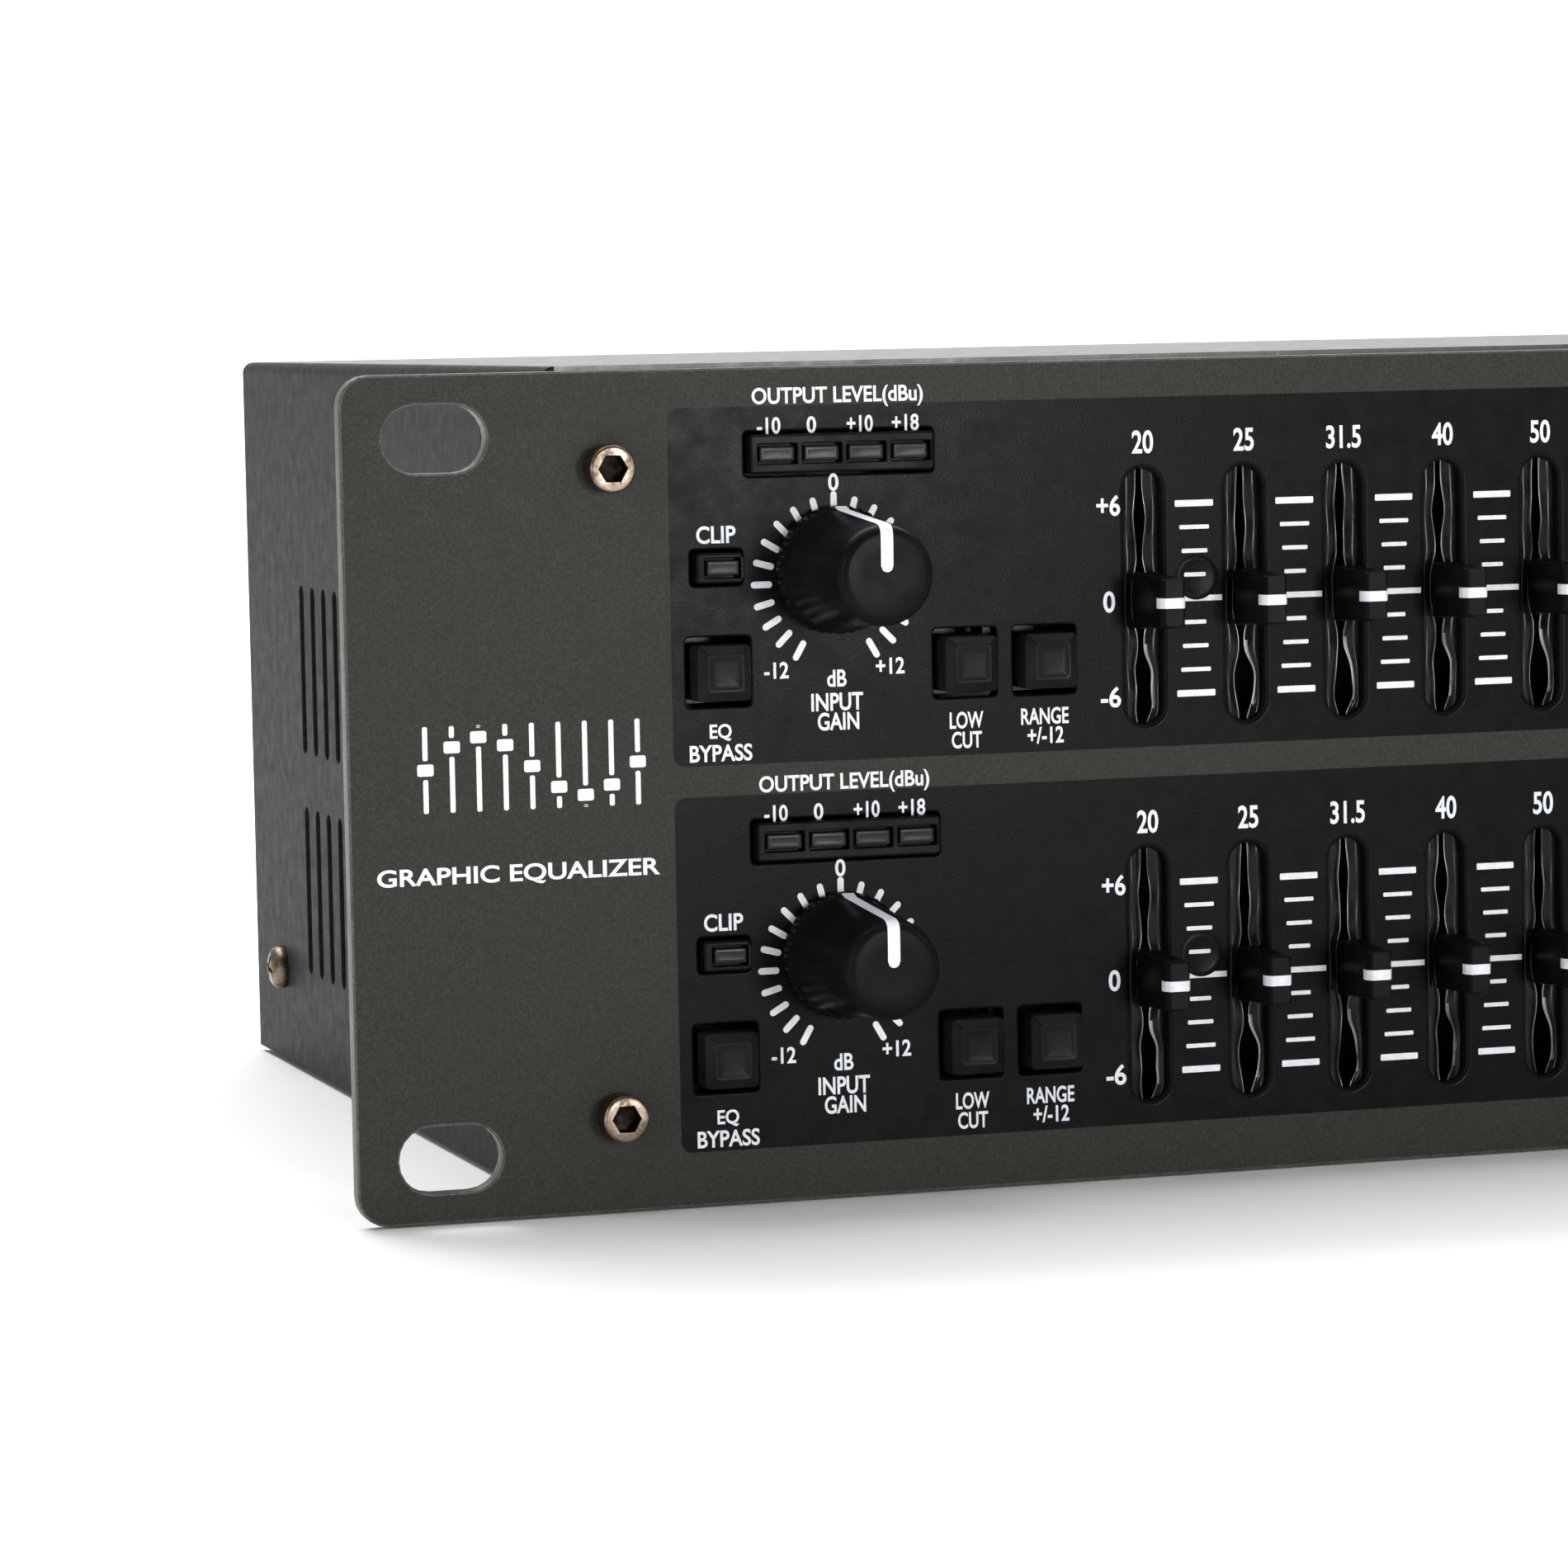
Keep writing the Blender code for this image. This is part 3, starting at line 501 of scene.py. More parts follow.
# A lighter copy of the case paint for the cover's flat top only: a painted reflection of the bright room seen
# at a grazing angle.
CASE_TOP_PAINTED_REFLECTION = powder_paint(
    "case_paint_top_painted_reflection", (0.034, 0.0335, 0.036), (0.042, 0.0415, 0.0445), 0.34,
    grain=0.45, strength=0.3, specular=0.5,
)
BLACK_PLASTIC = moulded_plastic(
    "black_plastic_satin", (0.003, 0.003, 0.0033), (0.0045, 0.0045, 0.005), 0.36, specular=0.07
)
KNOB_PLASTIC = moulded_plastic(
    "knob_plastic", (0.0048, 0.0048, 0.0055), (0.0072, 0.0072, 0.0082), 0.34, specular=0.04
)
BUTTON_PLASTIC = moulded_plastic(
    "button_plastic_smoked", (0.0085, 0.009, 0.0095), (0.0135, 0.014, 0.0145), 0.3, specular=0.05
)
LENS = moulded_plastic(
    "lens_smoked", (0.010, 0.0095, 0.008), (0.018, 0.017, 0.0145), 0.28, coat=0.03, specular=0.1
)
BRONZE = worn_metal("bolt_bronze", (0.10, 0.075, 0.055), (0.25, 0.195, 0.155), 0.34)
# Inside the bolts' hex sockets this darker finish is painted shade in the recess. On the mains transformer it
# is that metal's own dark colour.
SOCKET_SHADE_AND_DARK_METAL = worn_metal("bolt_socket_shade_and_dark_metal", (0.012, 0.009, 0.007), (0.035, 0.027, 0.022), 0.5)
STEEL = worn_metal("bright_steel", (0.36, 0.36, 0.37), (0.6, 0.6, 0.61), 0.3, (1, 12, 1))
BRASS = worn_metal("contact_brass", (0.5, 0.36, 0.14), (0.75, 0.58, 0.28), 0.3)
WHITE_INK = printed_ink("white_ink", (0.72, 0.74, 0.78), (0.86, 0.88, 0.92))
FILM = seal_film()
# Light grey for the seal lips' edges: a painted highlight on the curled film edge.
FILM_EDGE_HIGHLIGHT = moulded_plastic("seal_edge_painted_highlight", (0.012, 0.0115, 0.011), (0.42, 0.41, 0.4), 0.25, specular=0.5)
BOARD = solder_mask()


# ---------------------------------------------------------------- front panel


def channel_openings(n):
    """The openings inside one channel's printed field: windows, button holes and fader slots."""
    meter, clip = node_middle(f"level_meter_{n}"), node_middle(f"clip_lamp_{n}")
    found = [
        (growing_rectangle((meter.x, meter.z), METER_WINDOW, WINDOW_CORNER), WINDOW_RIM),
        (growing_rectangle((clip.x, clip.z), CLIP_WINDOW, WINDOW_CORNER), WINDOW_RIM),
    ]
    for button in BUTTONS:
        place = node_middle(f"{button}_{n}")
        hole = growing_rectangle((place.x, place.z), BUTTON_HOLE, WINDOW_CORNER)
        found.append((hole, WINDOW_RIM))
    knob = (across(KNOB_X), ZERO[n] + KNOB_RISE)
    found.append((growing_circle(knob, SHAFT_HOLE), WINDOW_RIM))
    for band in range(BANDS):
        place = (across(fader_x(band)), ZERO[n] + FADER_SLOT_RISE)
        found.append((growing_obround(place, FADER_SLOT), FADER_SLOT_RIM))
    return found


def field_outline(n):
    middle_x = across(sum(FIELD_X) / 2)
    middle_z = ZERO[n] + sum(FIELD_RISE) / 2
    size = (FIELD_X[1] - FIELD_X[0], FIELD_RISE[1] - FIELD_RISE[0])
    return growing_rectangle((middle_x, middle_z), size, FIELD_CORNER)


def bolt_names():
    return [f"panel_bolt_{i}" for i in range(1, 5)]


def make_panel():
    """The plate, with its fields printed darker and every opening's rim rounded."""
    bm = bmesh.new()
    middle = PANEL_LOW.z + PANEL_HEIGHT / 2
    outline = growing_rectangle((0, middle), (PANEL_WIDTH, PANEL_HEIGHT), PANEL_CORNER)
    ends = (LEFT + RACK_SLOT_INSET, LEFT + PANEL_WIDTH - RACK_SLOT_INSET)
    slots = [
        (growing_obround((x, middle + side * RACK_SLOT_OFFSET), RACK_SLOT), PANEL_RIM)
        for x in ends
        for side in (1, -1)
    ]
    bolts = [node_middle(name) for name in bolt_names()]
    plain = slots + [(growing_circle((b.x, b.z), BOLT_HOLE), WINDOW_RIM) for b in bolts]
    fields = [field_outline(n)(0) for n in CHANNELS]
    inside = [channel_openings(n) for n in CHANNELS]
    add_fill(bm, [outline(-PANEL_RIM - SHELF)] + [s(r + SHELF) for s, r in plain] + fields, depth(0))
    for field, openings in zip(fields, inside):
        add_fill(bm, [field] + [s(r + SHELF) for s, r in openings], depth(0), index=1)
        for shape, rim in openings:
            add_rim(bm, shape, rim, depth(0), depth(PANEL_BACK), index=1)
    # Material index 2 is the painted highlight on the outer edge and on the rack-slot and bolt-hole walls.
    add_rim(bm, outline, PANEL_RIM, depth(0), depth(PANEL_BACK), index=2, outward=-1)
    for shape, rim in plain:
        add_rim(bm, shape, rim, depth(0), depth(PANEL_BACK), index=2)
    every = plain + inside[0] + inside[1]
    add_fill(bm, [outline(0)] + [s(0) for s, r in every], depth(PANEL_BACK))
    finish_mesh(
        "front_plate", bm, "case", (PANEL_PAINT, FIELD_INK, PANEL_EDGE_HIGHLIGHT), 35,
        replaces=("front_panel",),
    )


def make_stud_marks():
    """The faint round swell over each stud pressed into the panel from behind."""
    bm = bmesh.new()
    x = fader_x(0) + PITCH / 2 + STUD_PLACE[0]
    for n in CHANNELS:
        for band in (0, BANDS - 2):
            centre = (across(x + band * PITCH), ZERO[n] + STUD_PLACE[1])
            profile = ((0.0, 2.5), (-0.05, 2.3), (-0.09, 2.0), (-0.06, 1.75), (-0.03, 1.5), (-0.02, 0))
            add_turned(bm, centre, [(depth(level), radius) for level, radius in profile], 40)
    finish_mesh("stud_swells", bm, "case", (FIELD_INK,))


# ---------------------------------------------------------------- print


def add_strip(bm, middle, size, corner=0.0):
    """One printed bar on the panel's face."""
    add_face(bm, placed(rectangle(middle, size, corner, 4), depth(-PRINT_LAYER)))


def add_tick(bm, centre, angle, inner, outer, width):
    """A bar with round ends, lying along a radius of the dial."""
    turn = math.radians(angle)
    out, side = Vector((math.sin(turn), math.cos(turn))), Vector((math.cos(turn), -math.sin(turn)))
    ring = obround((0, (inner + outer) / 2), (width, outer - inner), 6)
    add_face(bm, placed([Vector(centre) + side * x + out * z for x, z in ring], depth(-PRINT_LAYER)))


def add_letters(bm, words, middle, width, height):
    """Letters in Blender's own font, flattened to a mesh and fitted to a box on the panel's face."""
    curve = bpy.data.curves.new("letters", "FONT")
    curve.body = words
    curve.align_x = "CENTER"
    curve.offset = LETTER_WEIGHT
    curve.resolution_u = 6
    item = bpy.data.objects.new("letters", curve)
    bpy.context.scene.collection.objects.link(item)
    bpy.context.view_layer.update()
    mesh = item.to_mesh()
    xs, ys = [v.co.x for v in mesh.vertices], [v.co.y for v in mesh.vertices]
    tall = height / (max(ys) - min(ys))
    wide = width / (max(xs) - min(xs)) if width else tall * LETTER_CONDENSE
    mid_x, mid_y = (max(xs) + min(xs)) / 2, (max(ys) + min(ys)) / 2
    made = [
        bm.verts.new(
            (middle[0] + (v.co.x - mid_x) * wide, depth(-PRINT_LAYER), middle[1] + (v.co.y - mid_y) * tall)
        )
        for v in mesh.vertices
    ]
    for polygon in mesh.polygons:
        bm.faces.new([made[i] for i in polygon.vertices])
    item.to_mesh_clear()
    bpy.data.objects.remove(item)
    bpy.data.curves.remove(curve)


def finish_print(name, bm):
    """Turns every printed face to the front and lets the print ride on the case."""
    for face in bm.faces:
        face.normal_update()
        if face.normal.y > 0:
            face.normal_flip()
    bm.transform(Matrix.Scale(MM, 4))
    item = link_mesh(name, bm)
    item.data.materials.append(WHITE_INK)
    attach(item, "case")


def make_channel_print(n):
    """One channel's legends, dial and fader scale."""
    bm = bmesh.new()
    zero = ZERO[n]
    for words, x, rise, width, height in LEGENDS:
        add_letters(bm, words, (across(x), zero + rise), width, height)
    for band, words in enumerate(FREQUENCIES):
        add_letters(bm, words, (across(fader_x(band)), zero + FREQUENCY_RISE), None, FREQUENCY_HEIGHT)
    dial = (across(KNOB_X), zero + DIAL_RISE)
    for angle in range(-DIAL_END, DIAL_END + 1, DIAL_STEP):
        inner = DIAL_RADIUS - TICK[0]
        length = TICK[0] + (TOP_TICK_EXTRA if angle == 0 else 0)
        add_tick(bm, dial, angle, inner, inner + length, TICK[1])
    for band in range(BANDS - 1):
        x = across(fader_x(band) + PITCH / 2)
        add_strip(bm, (x, zero), (PITCH - FADER_SLOT[0] - 2 * FADER_SLOT_RIM, ZERO_LINE_THICK))
        for step, length in enumerate(SCALE_LENGTHS, 1):
            thick = SCALE_END_THICK if step == len(SCALE_LENGTHS) else SCALE_THICK
            for side in (1, -1):
                add_strip(bm, (x, zero + side * step * SCALE_STEP), (length, thick), 0.12)
    finish_print(f"print_channel_{n}", bm)


def make_mark():
    """A generic mark of slider strokes, and a plain name of what the thing is."""
    bm = bmesh.new()
    low, high = MARK_Z
    for i in range(MARK_STROKES):
        x = across(MARK_X[0] + (MARK_X[1] - MARK_X[0]) * i / (MARK_STROKES - 1))
        share = 0.5 + 0.36 * math.sin(2 * math.pi * i / (MARK_STROKES - 1))
        block = low + (high - low) * share
        add_strip(bm, (x, block), MARK_BLOCK, 0.25)
        clear = MARK_BLOCK[1] / 2 + 0.35
        for start, end in ((low, block - clear), (block + clear, high)):
            add_strip(bm, (x, (start + end) / 2), (MARK_STROKE, end - start), 0.2)
    words, x, z, width, height = TITLE
    add_letters(bm, words, (across(x), z), width, height)
    finish_print("print_mark", bm)


# ---------------------------------------------------------------- controls

METER_LENSES, METER_LENS = (46.55, 51.45, 56.35, 61.25), (3.85, 1.6)
CLIP_LENSES, CLIP_LENS = (40.4,), (3.6, 1.6)
SINGLE_FADERS, FADERS_IN_GROUP = 7, 3
SEAL_DEPTH = 1.35
LIP_SHARES = (0.0, 0.15, 0.32, 0.5, 0.66, 0.8, 0.9, 0.96, 1.0)  # from the slot's wall to the lip's edge
LIP_TUCKS = ((0.06, 0.12), (0.16, 0.4), (0.5, 0.75), (1.1, 1.0))  # past the edge: aside, and deeper
WIDE_REFLECTION_RISE = (-12.6, -5.6)  # where the painted highlight on the right lip's edge is three strips wide instead of one: a painted reflection


def make_knob(n):
    """A tapered knob: serrated skirt, a ridge, a smooth cone and a slightly dished face."""
    name = f"gain_knob_{n}"
    centre = (across(KNOB_X), ZERO[n] + KNOB_RISE)
    teeth, samples = 36, 6
    profile = (  # reach in front of the panel, radius, depth of the serrations
        (-11.0, 0.0, 0), (-11.0, 3.0, 0), (0.45, 3.0, 0), (0.5, 6.3, 0), (0.6, 6.65, 0.05), (0.8, 6.75, 0.3),
        (2.1, 6.75, 0.3), (2.35, 6.65, 0.2), (2.5, 6.5, 0), (2.7, 6.4, 0), (2.9, 6.5, 0), (3.05, 6.4, 0),
        (3.3, 6.3, 0), (10.0, 5.75, 0), (16.2, 5.27, 0), (16.8, 5.12, 0), (17.2, 4.88, 0), (17.42, 4.55, 0),
        (17.5, 4.1, 0), (17.45, 2.5, 0), (17.4, 1.0, 0), (17.4, 0.0, 0),
    )
    rings = []
    for reach, radius, cut in profile:
        ring = []
        for i in range(teeth * samples):
            angle = 2 * math.pi * i / (teeth * samples)
            r = max(radius - cut * (0.5 - 0.5 * math.cos(teeth * angle)) ** 2, SEWN / 4)
            ring.append((centre[0] + r * math.sin(angle), depth(-reach), centre[1] + r * math.cos(angle)))
        rings.append(ring)
    bm = bmesh.new()
    add_rings(bm, rings, close=(True, True))
    finish_mesh(f"knob_{n}", bm, name, (KNOB_PLASTIC,), 30, (name,))

    half = 0.67  # of the pointer's width
    path = [(2.45, 6.62), (2.7, 6.45), (3.0, 6.5), (3.3, 6.3), (10.0, 5.75), (16.2, 5.27), (16.8, 5.12)]
    path += [(17.2, 4.88), (17.42, 4.55), (17.5, 4.1)]
    columns = [half * k / 4 for k in range(-4, 5)]
    rows = []
    for reach, radius in path:
        lift = MARK_LIFT * min(1, max(0, (reach - 16) / 1.5))
        rows.append([(x, reach + lift, math.sqrt(radius**2 - x**2) + MARK_LIFT) for x in columns])
    rows.append([(x, 17.5 + MARK_LIFT, 2.5) for x in columns])
    rows.append([(x, 17.47 + MARK_LIFT, 1.0 - math.sqrt(max(0, half**2 - x**2))) for x in columns])
    bm = bmesh.new()
    add_grid(bm, [[(centre[0] + x, depth(-y), centre[1] + z) for x, y, z in row] for row in rows])
    finish_mesh(f"knob_pointer_{n}", bm, name, (WHITE_INK,), 60)


def make_button(button, n):
    """A square button with soft edges, a sloped rim and a slightly dished face."""
    name = f"{button}_{n}"
    low, high = node_box(name)
    side, reach, face = high.x - low.x, FACE - low.y, 3.9
    sections = (
        (depth(10.4), 3.0, 3.0, 0.3), (depth(5.6), 3.0, 3.0, 0.3), (depth(5.5), side, side, 0.5),
        (depth(-reach + 0.95), side, side, 0.5), (depth(-reach + 0.8), side - 0.06, side - 0.06, 0.48),
        (depth(-reach + 0.68), side - 0.25, side - 0.25, 0.42),
        (depth(-reach + 0.14), face + 0.25, face + 0.25, 0.32),
        (depth(-reach + 0.03), face + 0.1, face + 0.1, 0.3), (depth(-reach), face - 0.1, face - 0.1, 0.28),
        (depth(-reach + 0.1), face - 0.6, face - 0.6, 0.25),
        (depth(-reach + 0.16), face - 1.8, face - 1.8, 0.2),
    )
    bm = bmesh.new()
    add_loft(bm, face_middle(low, high), sections, steps=4)
    finish_mesh(f"cap_{name}", bm, name, (BUTTON_PLASTIC,), 50, (name,))


def make_lamps(name, lenses, lens_size):
    """A black block in its window, with smoked lenses set a little way into it."""
    low, high = node_box(name)
    middle, size, front = face_middle(low, high), face_size(low, high), low.y
    width, height = lens_size
    bm = bmesh.new()
    frames = [growing_rectangle((x, middle[1]), (width + 0.5, height + 0.5), 0.15) for x in lenses]
    outline = growing_rectangle(middle, size, 0.4)
    add_plate(bm, outline, 0.25, [(frame, 0.12) for frame in frames], front, front + 1.4)
    add_loft(bm, middle, ((front + 1.41, *size, 0.4), (depth(13.6), *size, 0.4)))
    sections = (
        (front + 1.3, width, height, 0.2), (front + 0.4, width, height, 0.2),
        (front + 0.25, width - 0.12, height - 0.12, 0.18), (front + 0.2, width - 0.4, height - 0.4, 0.15),
        (front + 0.23, width - 0.9, height - 0.9, 0.1),
    )
    for x in lenses:
        add_loft(bm, (x, middle[1]), sections, index=1)
    finish_mesh(f"lamps_{name}", bm, "case", (BLACK_PLASTIC, LENS), 35, (name,))


def cap_sections():
    """The fader cap from the panel outwards: a foot, a waist and a front with chamfered sides."""
    return (
        (depth(-0.5), 2.9, 5.7, 0.3), (depth(-0.6), 3.2, 6.0, 0.4), (depth(-1.2), 3.2, 6.0, 0.4),
        (depth(-1.9), 3.0, 5.7, 0.35), (depth(-5.0), 2.85, 5.45, 0.3), (depth(-8.05), 2.9, 5.4, 0.3),
        (depth(-8.2), 2.82, 5.34, 0.3), (depth(-8.78), 2.12, 5.04, 0.25), (depth(-8.9), 1.9, 4.84, 0.22),
    )


def make_fader_node(n, bands, name):
    """The caps and levers of one CAD node, with the white line across each cap."""
    bm, lines = bmesh.new(), bmesh.new()
    zero = ZERO[n]
    lever = ((depth(10.5), 0.4, 3.5, 0.08), (depth(10.4), 0.48, 3.6, 0.1), (depth(-0.5), 0.48, 3.6, 0.1))
    path = ((-1.46, 7.35), (-1.475, 8.08), (-1.44, 8.22), (-1.09, 8.8), (-0.96, 8.93))
    path += tuple((-a, b) for a, b in reversed(path))
    for band in bands:
        x = across(fader_x(band))
        add_loft(bm, (x, zero), lever)
        add_loft(bm, (x, zero), cap_sections())
        add_grid(lines, [[(x + a, depth(-b), zero + side * 0.55) for a, b in path] for side in (-1, 1)])
    if len(bands) > 1:
        low, high = node_box(name)
        bar = rectangle(((low.x + high.x) / 2, zero), (high.x - low.x, 2.8), 0.3)
        add_rings(bm, [placed(bar, depth(d)) for d in (3.4, 5.4)], close=(True, True))
    finish_mesh(f"caps_{name}", bm, name, (BLACK_PLASTIC,), 40, (name,))
    finish_mesh(f"lines_{name}", lines, name, (WHITE_INK,), 60)


def make_faders():
    for n in CHANNELS:
        for band in range(SINGLE_FADERS):
            make_fader_node(n, (band,), f"fader_{n}_band_{band + 1:02d}")
        for first in range(SINGLE_FADERS, BANDS, FADERS_IN_GROUP):
            bands = tuple(range(first, first + FADERS_IN_GROUP))
            make_fader_node(n, bands, f"faders_{n}_bands_{first + 1:02d}_to_{bands[-1] + 1:02d}")


def lip_edge(rise, band, side):
    """How far a lip stands from the slot's middle line: open at the lever and below it, pinched between."""
    wander = math.sin(band * 2.4 + rise * 0.8)
    lever = 0.62 * math.exp(-((rise / 3.3) ** 4))
    above = (0.3 + 0.1 * wander) * math.exp(-(((rise - 8.6) / 2.9) ** 2))
    wide = 1.0 if side > 0 else 0.4
    below = (wide + 0.15 * wander) * math.exp(-(((rise + 9.7) / 3.1) ** 4))
    return 0.3 + lever + above + below


def lip_row(rise, band, side):
    """One row of a lip's points (aside, depth, rise), from the slot's wall to its edge and back behind it."""
    half_w = FADER_SLOT[0] / 2 + 0.1
    edge = lip_edge(rise + FADER_SLOT_RISE, band, side)
    ripple = 0.13 * math.sin(rise * 0.95 + band * 1.7 + side)
    points = []
    for share in LIP_SHARES:
        x = half_w + (edge - half_w) * share
        swell = 0.5 * math.sin(math.pi * min(1, share * 1.15)) + ripple * share
        points.append((side * x, SEAL_DEPTH - swell * 0.7, rise))
    for tuck, sink in LIP_TUCKS:
        points.append((side * min(edge + tuck, half_w), SEAL_DEPTH + sink - ripple * 0.7, rise))
    return points


def make_seals(n):
    """Two shiny lips behind each slot, closed at its ends and parted round the lever."""
    bm = bmesh.new()
    half_h, rows, last = FADER_SLOT[1] / 2 + 0.1, 48, len(LIP_SHARES) - 2
    for band in range(BANDS):
        centre_x, centre_z = across(fader_x(band)), ZERO[n] + FADER_SLOT_RISE
        for side in (-1, 1):
            grid = []
            for row in range(rows + 1):
                points = lip_row(-half_h + 2 * half_h * row / rows, band, side)
                grid.append([bm.verts.new((centre_x + x, depth(y), centre_z + z)) for x, y, z in points])
            for near, far in zip(grid, grid[1:]):
                # Each lip's edge strip is painted light as a painted highlight. Low on the right lip it is
                # three strips wide as a painted reflection.
                wide_reflection = side > 0 and WIDE_REFLECTION_RISE[0] < near[0].co.z - centre_z < WIDE_REFLECTION_RISE[1]
                for i in range(len(near) - 1):
                    made = bm.faces.new((near[i], near[i + 1], far[i + 1], far[i]))
                    made.material_index = int((last - 2 if wide_reflection else last) <= i <= last)
    finish_mesh(f"dust_seals_{n}", bm, "case", (FILM, FILM_EDGE_HIGHLIGHT), 60)


# ---------------------------------------------------------------- case and fasteners


def make_cover():
    """The folded cover: both sides with their rounded vents, the two bends and the top."""
    bm = bmesh.new()
    near, far = CASE_LOW.y, CASE_HIGH.y
    low, high = CASE_LOW.z, CASE_HIGH.z - COVER_BEND
    half = CASE_HIGH.x
    outline = growing_rectangle(((near + far) / 2, (low + high) / 2), (far - near, high - low), 0)
    vents = [
        (growing_obround((depth(VENT_REAR - i * VENT_PITCH), row), VENT), 0.15)
        for row in VENT_ROWS
        for i in range(VENT_COUNT)
    ]
    for side in (-1, 1):
        add_plate(bm, outline, 0, vents, side * half, side * (half - COVER_SHEET), "X")
    bend, steps = half - COVER_BEND, 10
    inner_radius = COVER_BEND - COVER_SHEET
    outer = arc((bend, high), COVER_BEND, 0, 90, steps) + arc((-bend, high), COVER_BEND, 90, 180, steps)
    inner = arc((bend, high), inner_radius, 0, 90, steps) + arc((-bend, high), inner_radius, 90, 180, steps)
    for i in range(len(outer) - 1):
        index = int(i == steps)  # the flat top between the two bends, painted lighter as a painted reflection
        for skin in (outer, inner):
            (x0, z0), (x1, z1) = skin[i], skin[i + 1]
            add_face(bm, ((x0, near, z0), (x1, near, z1), (x1, far, z1), (x0, far, z0)), index)
        for y in (near, far):
            add_face(bm, placed((outer[i], outer[i + 1], inner[i + 1], inner[i]), y), index)
    finish_mesh("folded_cover", bm, "case", (CASE_PAINT, CASE_TOP_PAINTED_REFLECTION), 35, ("top_cover",))


def make_bolt(name):
    """A socket-head bolt: turned head with rounded edge and a hexagonal socket."""
    place = node_middle(name)
    front = node_box(name)[0].y
    centre, head, shank, edge, steps = (place.x, place.z), 2.5, 1.7, 0.35, 48
    bm = bmesh.new()
    outer = ((9.0, 1.0), (8.6, shank), (-0.3, shank), (-0.3, head))
    rings = [placed(circle(centre, r, steps), depth(d)) for d, r in outer]
    for k in range(5):
        angle = math.pi / 2 * k / 4
        level, radius = front + edge * (1 - math.sin(angle)), head - edge * (1 - math.cos(angle))
        rings.append(placed(circle(centre, radius, steps), level))
    add_rings(bm, rings, close=(True, False))
    add_fill(bm, [circle(centre, head - edge, steps), circle(centre, 1.62, 6)], front)
    # The socket's walls and floor take the darker finish: painted shade in the recess.
    socket = ((0, 1.62), (0.1, 1.5), (1.9, 1.5), (2.4, 0.1))
    rings = [placed(circle(centre, r, 6), front + d) for d, r in socket]
    add_rings(bm, rings, index=1, close=(False, True))
    finish_mesh(f"head_{name}", bm, "case", (BRONZE, SOCKET_SHADE_AND_DARK_METAL), 25, (name,))


def cross_recess(name, centre, near, far):
    """The four-armed tool that a cross recess is cut with."""
    arm = ((0.28, 0.28), (1.45, 0.24), (1.45, -0.24))
    outline = []
    for turn in range(4):
        cos, sin = math.cos(math.radians(90 * turn + 20)), math.sin(math.radians(90 * turn + 20))
        outline += [(a * cos - b * sin, a * sin + b * cos) for a, b in arm]
    ring = sorted(outline, key=lambda p: math.atan2(p[1], p[0]))
    bm = bmesh.new()
    rings = [[(level, centre[0] + a, centre[1] + b) for a, b in ring] for level in (near, far)]
    add_rings(bm, rings, close=(True, True))
    bmesh.ops.recalc_face_normals(bm, faces=bm.faces)
    bm.transform(Matrix.Scale(MM, 4))
    return link_mesh(name, bm)


def make_side_screw(name, side):
    """A pan-head screw on the cover's side, with a cross recess cut into its head."""
    place = node_middle(name)
    centre, half = (place.y, place.z), CASE_HIGH.x
    profile = ((-5.9, 0), (-5.9, 1.5), (-0.2, 1.5), (0.05, 2.65), (0.45, 2.7), (0.9, 2.62), (1.3, 2.4))
    profile += ((1.65, 1.95), (1.85, 1.35), (1.95, 0.75), (1.98, 0.0))
    bm = bmesh.new()
    add_turned(bm, centre, [(side * (half + level), r) for level, r in profile], 40, "X")
    item = finish_mesh(f"head_{name}", bm, "case", (BRONZE, BLACK_PLASTIC), 40, (name,))
    tool = cross_recess("cross_tool", centre, *sorted((side * (half + 0.9), side * (half + 3))))
    cut = item.modifiers.new("cross", "BOOLEAN")
    cut.operation, cut.object, cut.solver = "DIFFERENCE", tool, "EXACT"
    bpy.context.view_layer.update()
    carved = bpy.data.meshes.new_from_object(item.evaluated_get(bpy.context.evaluated_depsgraph_get()))
    item.modifiers.clear()
    item.data = carved
    bpy.data.objects.remove(tool)


# ---------------------------------------------------------------- rear

WALL = node_box("chassis_tray")[1].y
REAR_Z = 44.0
XLR_FLANGE = (22.4, 29.0)
XLR_PIN_CIRCLE = 3.8
OUTPUT_OFFSET, INPUT_OFFSET, JACK_OFFSETS = 25.0, -5.0, (-22.0, -38.0)  # from a row's own zero
SOCKET_BOARD_MARGIN = 9.0


def add_screw_head(bm, centre, level, radius, index):
    """A small domed head on the rear wall."""
    profile = ((0.0, radius), (0.35, radius), (0.75, radius * 0.8), (0.95, radius * 0.4), (1.0, 0.0))
    add_turned(bm, centre, [(level + d, r) for d, r in profile], 20, index=index)


def add_pin(bm, centre, start, end, radius, index):
    """A round contact with a domed tip."""
    profile = ((start, 0.0), (start, radius), (end - radius, radius))
    profile += ((end - radius * 0.4, radius * 0.8), (end, 0.0))
    add_turned(bm, centre, profile, 16, index=index)


def add_well(bm, outline, edge, well, rim, levels):
    """A rounded flange with a closed well through it. levels are the flange's front and back, and the floor."""
    front, back, floor = levels
    add_fill(bm, [outline(-edge - SHELF), well(rim + SHELF)], front)
    add_rim(bm, outline, edge, front, back, outward=-1)
    add_rim(bm, well, rim, front, floor)
    add_rings(bm, [placed(well(0), floor)], close=(True, False))


